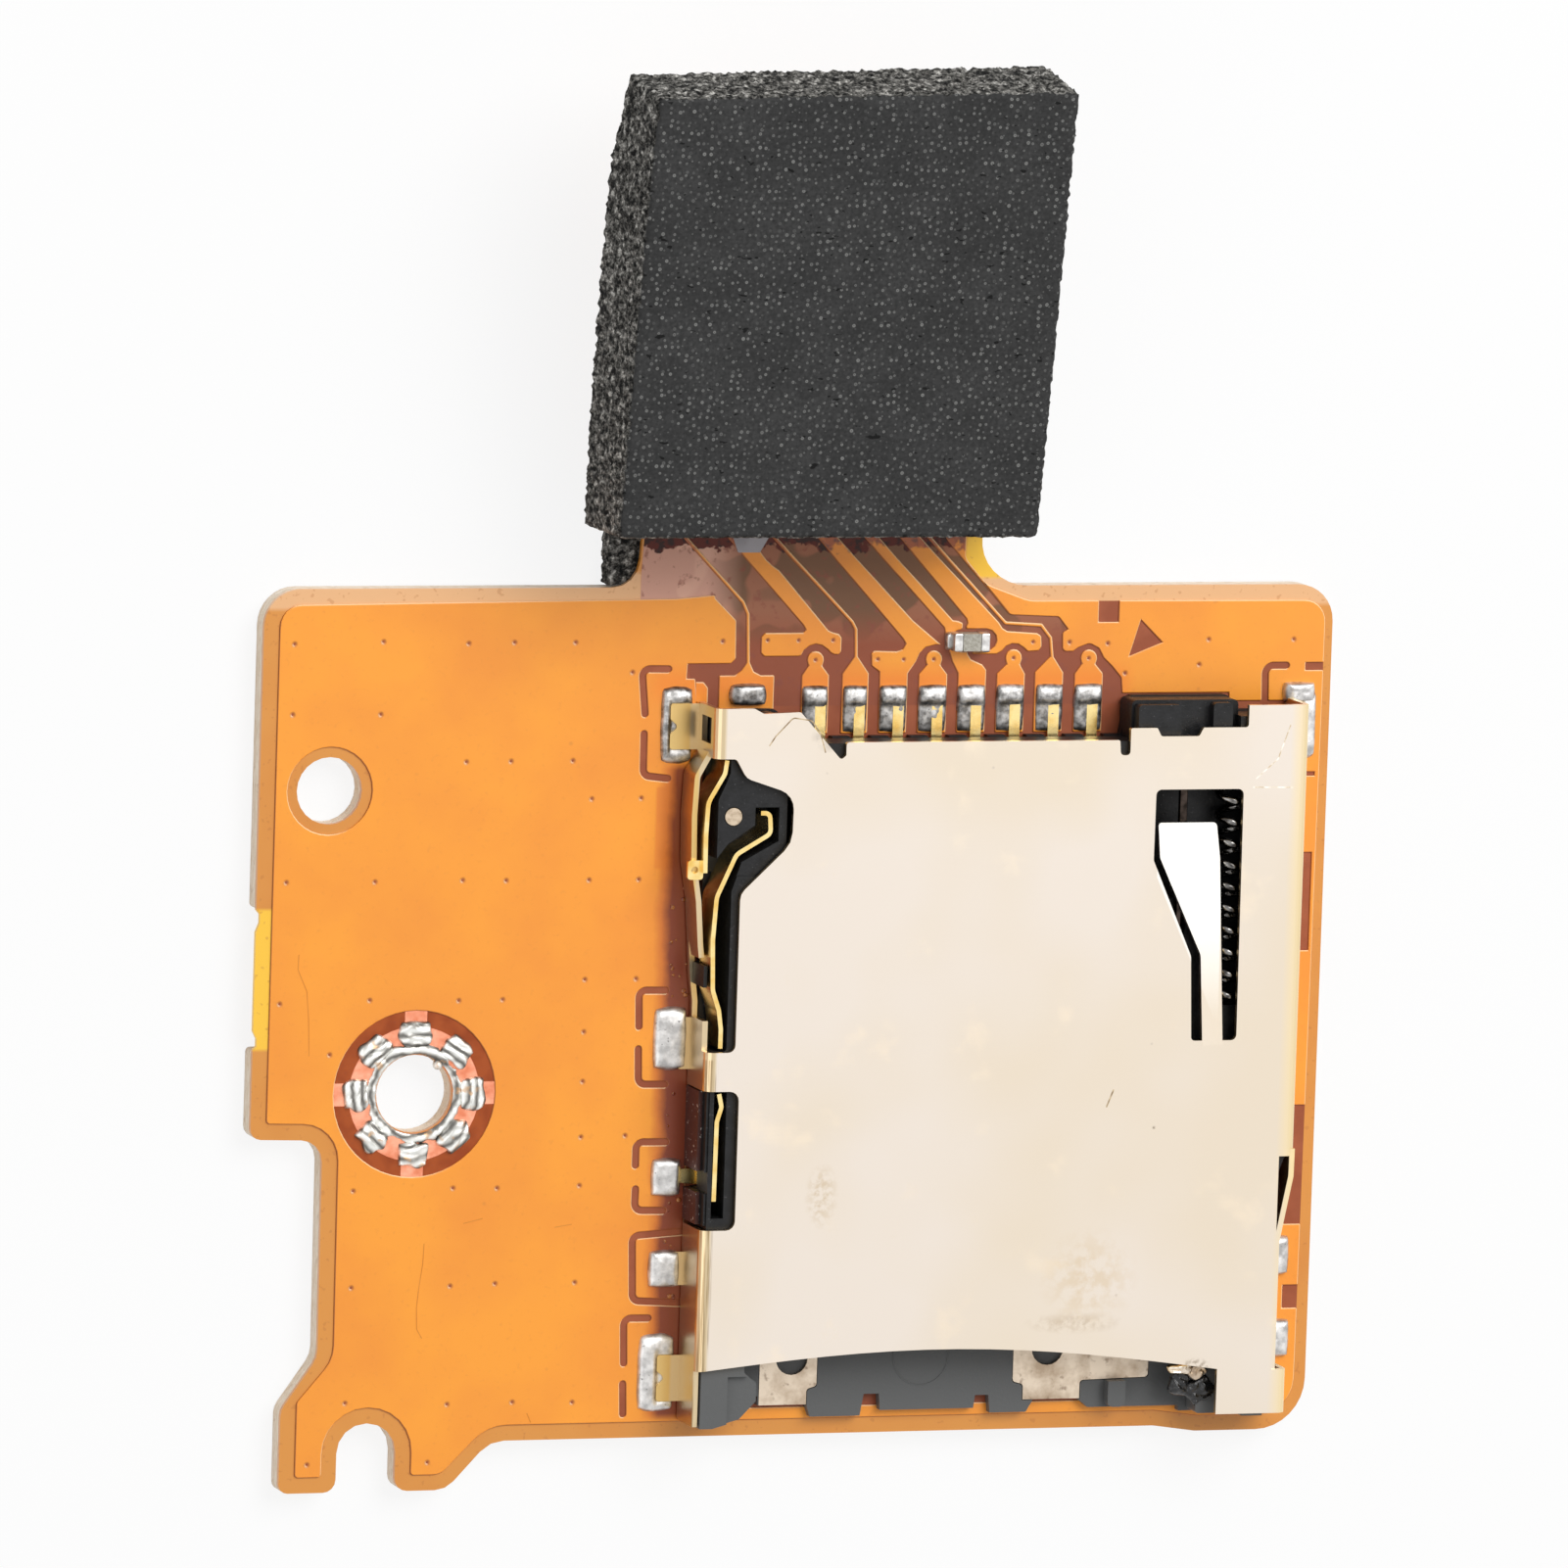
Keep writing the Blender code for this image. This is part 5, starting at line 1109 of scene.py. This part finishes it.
def solderPool(
    name, centre, size, height, material, seed, steps=16, rounding=0.3, turn=0.0, low=boardTop, ragged=0.03
):
    # a square grid is rounded towards an ellipse, raised to a height or a function of the place, and rippled
    deselectAll()
    bpy.ops.mesh.primitive_grid_add(x_subdivisions=steps, y_subdivisions=steps, size=2)
    piece = namePiece(name, material)
    bpy.ops.object.mode_set(mode="EDIT")
    bpy.ops.mesh.select_all(action="SELECT")
    bpy.ops.mesh.extrude_region_move(TRANSFORM_OT_translate={"value": (0, 0, 1)})
    bpy.ops.object.mode_set(mode="OBJECT")
    offset = Vector((seed * 7.3, seed * 3.1, 0))
    for vert in piece.data.vertices:
        u, v = vert.co.x, vert.co.y
        edge = max(abs(u), abs(v))
        roundU = u * math.sqrt(1 - v * v / 2)
        roundV = v * math.sqrt(1 - u * u / 2)
        x = size[0] / 2 * (u + (roundU - u) * rounding)
        y = size[1] / 2 * (v + (roundV - v) * rounding)
        wobble = noise.noise(Vector((x * 3, y * 3, seed))) * ragged * edge
        x, y = x * (1 + wobble), y * (1 + wobble)
        spunX = centre[0] + x * math.cos(turn) - y * math.sin(turn)
        spunY = centre[1] + x * math.sin(turn) + y * math.cos(turn)
        if vert.co.z <= 0.5:
            vert.co = (spunX, spunY, low + 0.001)
            continue
        dome = math.sqrt(max(0.0, 1 - edge ** 5))
        place = Vector((spunX, spunY, 0))
        ripple = noise.fractal(place * pool["ripplesPerMm"] + offset, 0.8, 2.0, 3) * pool["ripple"]
        tall = height(spunX, spunY) if callable(height) else height
        raised = tall * (pool["rim"] + (1 - pool["rim"]) * dome) + ripple * dome
        vert.co = (spunX, spunY, low + max(pool["lowest"], raised))
    activate(piece)
    bpy.ops.object.mode_set(mode="EDIT")
    bpy.ops.mesh.select_all(action="SELECT")
    bpy.ops.mesh.normals_make_consistent(inside=False)
    bpy.ops.object.mode_set(mode="OBJECT")
    bpy.ops.object.shade_smooth()
    return piece


def rise(value, start, length):
    # 0 up to start, then up to 1 over this length
    return min(1.0, max(0.0, (value - start) / length))


# x from, x to, y from, y to of each joint, and the foot in it: outer end, y from, y to, or none in sight
footJoints = [
    ((-8.30, -7.40, 4.46, 6.57), (-8.06, 4.87, 6.10)),
    ((-8.24, -7.32, -3.80, -2.06), None),
    ((-8.19, -7.36, -7.20, -6.16), None),
    ((-8.19, -7.32, -9.68, -8.65), None),
    ((-8.40, -7.36, -13.06, -10.91), (-7.88, -12.75, -11.50)),
    ((9.30, 10.25, 6.02, 6.56), None),
    ((9.24, 10.06, -9.67, -8.55), None),
    ((9.24, 10.15, -11.93, -10.86), None),
]
# the cover's walls in x, and the arm of the joint that runs round the corner of its foot: place and size
coverWalls = (-7.26, 9.55)
cornerArm = {"joint": 6, "centre": (10.06, 5.4), "size": (0.44, 1.9), "height": 0.2}


def buildFootSolder():
    for number, (box, foot) in enumerate(footJoints, start=1):
        left, right, front, rear = box
        centre = ((left + right) / 2, (front + rear) / 2)
        size = (right - left, rear - front)

        def jointHeight(x, y):
            # it climbs towards the wall, or lies low under its foot
            if not foot:
                near = 1 - abs(x - coverWalls[0 if x < 0 else 1])
                return 0.20 + 0.12 * max(0.0, near)
            outer, footFront, footRear = foot
            away = max(outer - x, footFront - y, y - footRear)
            return 0.10 + 0.12 * rise(away, -0.04, 0.12)

        tone = darkSolder if number == 1 else solderMaterial
        piece = solderPool(f"footSolder{number}", centre, size, jointHeight, tone, number, 22)
        if number == cornerArm["joint"]:
            arm = solderPool("arm", cornerArm["centre"], cornerArm["size"], cornerArm["height"], tone, 15)
            piece = joinPieces([piece, arm])
        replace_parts(finishPiece(piece, "board"), f"foot_solder_{number}")


print("solder")
buildFootSolder()

# left and right end of each contact's solder, in the order of the contacts
contactSolder = [
    (-4.36, -3.62), (-3.21, -2.51), (-2.18, -1.39), (-1.08, -0.26), (0.03, 0.84), (1.13, 1.94), (2.25, 3.04),
    (3.34, 4.16),
]
# the pools' middle in y and length, and one more pool beside them: place, size and height
contactPools = {"y": 5.90, "length": 1.32, "extra": ((-5.88, 6.32), (1.07, 0.6), 0.3)}


def contactHeight(x, y):
    # over the tail's end it's high, and in front of it the tail stays bare
    behind = rise(y, 5.98, 0.16)
    return 0.105 + 0.03 * rise(y, 5.25, 0.5) + 0.08 * behind * (1 - max(0.0, y - 6.2))


def buildContactSolder():
    pools = []
    for number, (left, right) in enumerate(contactSolder):
        centre, size = ((left + right) / 2, contactPools["y"]), (right - left, contactPools["length"])
        seed = 20 + number
        pools.append(solderPool(f"pool{number}", centre, size, contactHeight, darkSolder, seed, 18, 0.15))
    centre, size, height = contactPools["extra"]
    pools.append(solderPool("extra", centre, size, height, darkSolder, 40, 18, 0.5))
    joinPieces(pools)
    finishPiece(namePiece("contactSolder"), "board")


buildContactSolder()


def buildScrewSolder():
    # eight lumps pressed by a screw's head, with ridges that run round the hole
    holeX, holeY = screwHole
    for number in range(ring["lumps"]):
        angle = 2 * math.pi * number / ring["lumps"]
        centre = (holeX + ring["lumpRadius"] * math.cos(angle), holeY + ring["lumpRadius"] * math.sin(angle))

        def lumpHeight(x, y):
            radius = math.hypot(x - holeX, y - holeY)
            wander = noise.noise(Vector((x * 2.5, y * 2.5, number))) * 0.12
            ridge = 0.5 + 0.5 * math.sin((radius + wander * 1.5) * 2 * math.pi / 0.24)
            return 0.13 + 0.045 * ridge

        name, size, seed = f"ringSolder{number + 1}", ring["lumpSize"], 50 + number
        piece = solderPool(name, centre, size, lumpHeight, lumpMaterial, seed, 22, 0.55, angle, ragged=0.3)
        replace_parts(finishPiece(piece, "board"), f"ring_solder_{number + 1}")


def buildCrushedRing():
    # solder crushed to a ragged ring at the hole's edge, with a bead that hangs from it
    deselectAll()
    (holeX, holeY), (middle, thin) = screwHole, ring["crushed"]
    settings = {"major_radius": middle, "minor_radius": thin, "major_segments": 120, "minor_segments": 12}
    bpy.ops.mesh.primitive_torus_add(**settings)
    piece = namePiece("crushedRing", lumpMaterial)
    for vert in piece.data.vertices:
        angle = math.atan2(vert.co.y, vert.co.x)
        across = math.hypot(vert.co.x, vert.co.y) - middle
        ragged = noise.fractal(Vector((math.cos(angle) * 3.5, math.sin(angle) * 3.5, 0.5)), 0.8, 2.0, 4)
        wide = middle + across * (1 + 0.5 * ragged) + 0.05 * ragged
        ripple = noise.fractal(vert.co * 6, 0.8, 2.0, 3) * 0.03
        height = boardTop + 0.03 + vert.co.z * (0.55 + 0.4 * ragged) + ripple
        vert.co = (holeX + wide * math.cos(angle), holeY + wide * math.sin(angle), height)
    deselectAll()
    x, y, radius = ring["bead"]
    place = (holeX + x, holeY + y, boardTop + 0.04)
    bpy.ops.mesh.primitive_uv_sphere_add(segments=16, ring_count=10, radius=radius, location=place)
    piece = joinPieces([piece, namePiece("bead", lumpMaterial)])
    bpy.ops.object.shade_smooth()
    finishPiece(piece, "board")


buildScrewSolder()
buildCrushedRing()

capacitorSolder = {"ends": (-0.26, 0.78), "y": 7.73, "size": (0.2, 0.5), "height": 0.2}


def buildCapacitorSolder():
    pools = []
    for number, x in enumerate(capacitorSolder["ends"]):
        centre, size, height = (x, capacitorSolder["y"]), capacitorSolder["size"], capacitorSolder["height"]
        pools.append(solderPool(f"end{number}", centre, size, height, solderMaterial, 70 + number, 12, 0.5))
    joinPieces(pools)
    finishPiece(namePiece("capacitorSolder"), "board")


buildCapacitorSolder()


# Foam pads: remeshed finely, with torn sides and a nearly flat face

# name, node, material, size of the new mesh's faces, and how deeply the sides are torn
foamPads = [
    ("tailFoam", "tail_foam_pad", foamMaterial, 0.10, 0.13),
    ("neckFoam", "neck_foam_pad", tornMaterial, 0.06, 0.12),
]


def buildFoam(name, nodeName, material, voxel, tear):
    copyNode(name, nodeName)
    piece = namePiece(name, material)
    applyModifier(piece, "REMESH", {"mode": "VOXEL", "voxel_size": voxel})
    normals = [vert.normal.copy() for vert in piece.data.vertices]
    for vert, normal in zip(piece.data.vertices, normals):
        side = 1 - rise(abs(normal.z), 0.6, 0.35)
        # the saw left the right and front sides cleaner than the left and rear ones
        side *= 0.45 if normal.x > 0.5 or normal.y < -0.5 else 1.0
        rough = noise.fractal(vert.co * 4.2, 0.7, 2.1, 4)
        fibre = noise.noise(vert.co * 9.0)
        move = (0.3 - abs(rough)) * tear * side + fibre * tear * 0.5 * side
        move += noise.noise(vert.co * 5.0) * 0.008
        vert.co += normal * move
    bpy.ops.object.shade_smooth()
    finishPiece(piece, "board")
    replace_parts(piece, nodeName)


print("foam")
for pad in foamPads:
    buildFoam(*pad)


# Small surface details: a tab at the foam's edge, scratches, painted highlight lines, an ejector mark and
# flux drops

marks = {
    "tab": [(-6.56, 10.75), (-5.45, 10.75), (-5.72, 10.2), (-6.32, 10.2)],
    "scratches": [
        ([(-5.76, 5.15), (-5.6, 5.39), (-5.12, 5.89), (-4.6, 5.81), (-4.34, 5.46), (-4.19, 4.96)], 0.035),
        ([(4.1, -4.72), (4.28, -4.27)], 0.04),
    ],
    "highlightLines": [([(7.98, 3.91), (9.1, 3.9)], 0.03), ([(8.05, 4.15), (8.65, 4.67), (8.98, 5.6)], 0.03)],
    "filmLines": [
        [
            (-18.16, -0.56), (-18.17, -0.95), (-18.02, -1.29), (-17.91, -1.53), (-17.84, -2.27),
            (-17.8, -3.26),
        ],
        [
            (-14.46, -8.38), (-14.48, -8.91), (-14.57, -9.56), (-14.62, -10.09), (-14.6, -10.67),
            (-14.45, -10.92),
        ],
        [(-11.45, -13.02), (-11.34, -13.26)],
        [(-13.37, -7.84), (-12.86, -7.72)],
        [(-10.82, -7.99), (-10.36, -7.92)],
    ],
    "filmLineWidth": 0.026,
    # place and radius, and how thick its line is
    "ejector": (-0.47, -11.66, 0.78),
    "ejectorLine": 0.03,
    # place, width, length, level and material
    "torn": [
        (6.55, -11.95, 0.7, 0.3, 2.1, plateMaterial),
        (7.1, -12.05, 0.5, 0.5, 1.9, stainedShadedMaterial),
        (6.7, -12.4, 0.7, 0.6, 1.7, brokenMaterial),
        (7.3, -12.6, 0.7, 0.8, 1.7, brokenMaterial),
    ],
}


def levelOf(nodeName, x, y):
    # height of a node's top surface at a place
    found, where = nodes[nodeName].ray_cast(Vector((x * mm, y * mm, 0.01)), Vector((0, 0, -1)))[:2]
    return where.z / mm if found else coverTop


def buildStrokes(name, strokes, level, material):
    low, high = level - 0.02, level + 0.003
    joinPieces([flatShape("stroke", strokeOutline(path, width), low, high) for path, width in strokes])
    finishPiece(namePiece(name, material), "board")


def tornHeight(x, y):
    return 0.12 + 0.2 * abs(noise.noise(Vector((x * 4, y * 4, 0))))


def buildDamage():
    # the front edge at the right is torn: a bent burr of plating over broken polymer
    pieces = []
    for number, (x, y, wide, long, low, tone) in enumerate(marks["torn"]):
        size, seed, turn = (wide, long), 90 + number, number * 0.7
        pieces.append(solderPool("torn", (x, y), size, tornHeight, tone, seed, 14, 0.5, turn, low, 0.4))
    joinPieces(pieces)
    finishPiece(namePiece("tornEdge"), "board")


def buildMarks():
    tab = flatShape("paleTab", marks["tab"], boardTop - 0.02, boardTop + 0.12, tapeMaterial)
    bendTail(tab)
    finishPiece(tab, "board")
    buildStrokes("coverScratches", marks["scratches"], coverTop, scratchMaterial)
    # painted highlights: bright lines on the cover
    buildStrokes("coverHighlights", marks["highlightLines"], coverTop, highlightMaterial)
    lines = [(path, marks["filmLineWidth"]) for path in marks["filmLines"]]
    buildStrokes("filmScratches", lines, reliefTop, lineMaterial)
    buildDamage()
    (x, y, radius), thin = marks["ejector"], marks["ejectorLine"]
    place = (x, y, levelOf("socket_base", x, y) - 0.012)
    deselectAll()
    settings = {"major_radius": radius, "minor_radius": thin, "major_segments": 48, "minor_segments": 6}
    bpy.ops.mesh.primitive_torus_add(location=place, **settings)
    finishPiece(namePiece("ejectorMark", polymerMaterial), "board")


buildMarks()


# Flux drops along the left wall: where they stand, how large and how flat they are
drops = {"count": 46, "x": (-7.85, -7.32), "y": (-10.6, 3.4), "size": (0.03, 0.075), "flat": 0.5}


def between(span, share):
    return span[0] + (span[1] - span[0]) * share


def buildDrops():
    pieces = []
    for number in range(drops["count"]):
        share = noise.cell_vector(Vector((number * 1.7, 5.0, 2.0)))
        x, y = between(drops["x"], share.x), between(drops["y"], share.y)
        radius = between(drops["size"], share.z ** 2)
        # none stands in the solder of the left wall's feet
        if any(box[2] - 0.1 < y < box[3] + 0.1 and x > box[0] - 0.1 for box, foot in footJoints[:5]):
            continue
        deselectAll()
        settings = {"segments": 10, "ring_count": 6, "radius": radius}
        bpy.ops.mesh.primitive_uv_sphere_add(location=(x, y, reliefTop), **settings)
        drop = namePiece("drop", fluxMaterial)
        for vert in drop.data.vertices:
            vert.co.z *= drops["flat"]
        pieces.append(drop)
    joinPieces(pieces)
    bpy.ops.object.shade_smooth()
    finishPiece(namePiece("fluxDrops"), "board")


buildDrops()


# Coil spring and slider

# wire and turns in millimetres, the front end's rest and the slider's travel
coil = {
    "turns": 10.5,
    "steps": 24,
    "radius": 0.4,
    "wire": 0.1,
    "centre": (7.68, 1.55),
    "span": (-1.97, 4.21),
    "travel": 3.4,
}
# what comes off the slider's catch, so that the cam pin swings past it at the end of the travel
catchRelief = {"outline": [(5.62, -3.8), (6.0, -3.8), (6.0, -2.5), (5.62, -2.5)], "low": 1.78, "high": 2.3}


def buildCoil():
    # a round wire along a helix; its rear end is held in the base
    curve = bpy.data.curves.new("coilSpring", "CURVE")
    curve.dimensions = "3D"
    curve.bevel_depth = coil["wire"]
    curve.bevel_resolution = 2
    curve.use_fill_caps = True
    spline = curve.splines.new("POLY")
    count = int(coil["turns"] * coil["steps"]) + 1
    spline.points.add(count - 1)
    front, rear = coil["span"]
    for k, point in enumerate(spline.points):
        angle = 2 * math.pi * k / coil["steps"]
        x = coil["centre"][0] + coil["radius"] * math.cos(angle)
        z = coil["centre"][1] + coil["radius"] * math.sin(angle)
        point.co = (x, between((front, rear), k / (count - 1)), z, 1)
    piece = bpy.data.objects.new("coilSpring", curve)
    bpy.context.scene.collection.objects.link(piece)
    activate(piece)
    bpy.ops.object.convert(target="MESH")
    piece = namePiece("coilSpring", shadedCoilMaterial)
    cleanMesh(piece, 0.0005)
    bpy.ops.object.shade_smooth()
    finishPiece(piece, "board")
    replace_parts(piece, "slider_spring")
    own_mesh(piece)


def buildSlider():
    piece = copyNode("cardSlider", "card_slider")
    cutAway(piece, flatShape("relief", catchRelief["outline"], catchRelief["low"], catchRelief["high"]))
    finishPiece(piece, "slider")
    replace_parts(piece, "card_slider")


print("coil and slider")
buildCoil()
buildSlider()


# Stage, lights and camera

# size and level in metres, the floor's own grey, and how far the camera sees it as plain white instead
stage = {"floorSize": 0.6, "floorLevel": -0.00002, "paper": 0.9, "glow": 0.85, "worldStrength": 0.44}


def backgroundShare(tree):
    # 1 for what the camera sees straight, in gloss or through glass, and 0 for light on the object
    path = addNode(tree, "LightPath")
    seen = path.outputs["Is Camera Ray"]
    for kind in ("Is Glossy Ray", "Is Transmission Ray"):
        links = {0: seen, 1: path.outputs[kind]}
        seen = addNode(tree, "Math", {"operation": "MAXIMUM"}, links).outputs[0]
    return seen


def buildStage():
    deselectAll()
    bpy.ops.mesh.primitive_plane_add(size=stage["floorSize"])
    floor = namePiece("floor")
    floor.location.z = stage["floorLevel"]
    material = bpy.data.materials.new("white paper")
    material.use_nodes = True
    tree = material.node_tree
    tree.nodes.clear()
    diffuse = addNode(tree, "BsdfDiffuse", {"Color": (*(stage["paper"],) * 3, 1)})
    glow = addNode(tree, "Emission", {"Color": (1, 1, 1, 1), "Strength": 1.0})
    settings = {"operation": "MULTIPLY", 1: stage["glow"]}
    share = addNode(tree, "Math", settings, {0: backgroundShare(tree)}).outputs[0]
    links = {0: share, 1: diffuse.outputs[0], 2: glow.outputs[0]}
    mixed = addNode(tree, "MixShader", None, links)
    addNode(tree, "OutputMaterial", None, {"Surface": mixed.outputs[0]})
    floor.data.materials.append(material)

    world = bpy.data.worlds.new("studio")
    bpy.context.scene.world = world
    world.use_nodes = True
    tree = world.node_tree
    tree.nodes.clear()
    soft = addNode(tree, "Background", {"Color": (1, 1, 1, 1), "Strength": stage["worldStrength"]})
    white = addNode(tree, "Background", {"Color": (1, 1, 1, 1), "Strength": 1.0})
    links = {0: backgroundShare(tree), 1: soft.outputs[0], 2: white.outputs[0]}
    mixed = addNode(tree, "MixShader", None, links)
    addNode(tree, "OutputWorld", None, {"Surface": mixed.outputs[0]})


lamps = [
    # name, place in metres, what it points at, side in metres, watts
    ("keyLamp", (0.10, 0.15, 0.22), (-0.003, 0, 0), 0.2, 0.6),
    ("fillLamp", (-0.20, -0.06, 0.16), (-0.003, 0, 0), 0.16, 0.07),
]


def buildLamps():
    for name, place, target, side, watts in lamps:
        data = bpy.data.lights.new(name, "AREA")
        data.shape = "SQUARE"
        data.size = side
        data.energy = watts
        lamp = bpy.data.objects.new(name, data)
        bpy.context.scene.collection.objects.link(lamp)
        lamp.location = place
        lamp.rotation_euler = (Vector(target) - Vector(place)).to_track_quat("-Z", "Y").to_euler()


# the view, fitted to the photograph: turns in degrees, the board's origin before the camera in millimetres,
# and the lens in pixels of the photograph's width
view = {
    "turn": (7.5567, 18.1607, 0.5286),
    "origin": (4.1846, -3.7274, -402.7556),
    "lensPixels": 15276.011,
    "photoWidth": 1601,
    "sensor": 36,
}


def buildCamera():
    rx, ry, rz = (math.radians(v) for v in view["turn"])
    rotation = Matrix.Rotation(rz, 3, "Z") @ Matrix.Rotation(ry, 3, "Y") @ Matrix.Rotation(rx, 3, "X")
    inverse = rotation.transposed()
    place = inverse @ Vector([-v * mm for v in view["origin"]])
    data = bpy.data.cameras.new("photoCamera")
    data.sensor_width = view["sensor"]
    data.lens = view["lensPixels"] / view["photoWidth"] * view["sensor"]
    data.clip_start = 0.01
    data.clip_end = 5
    camera = bpy.data.objects.new("photoCamera", data)
    bpy.context.scene.collection.objects.link(camera)
    camera.matrix_world = Matrix.Translation(place) @ inverse.to_4x4()
    bpy.context.scene.camera = camera


print("stage")
buildStage()
buildLamps()
buildCamera()
bpy.context.scene.view_settings.view_transform = "Standard"
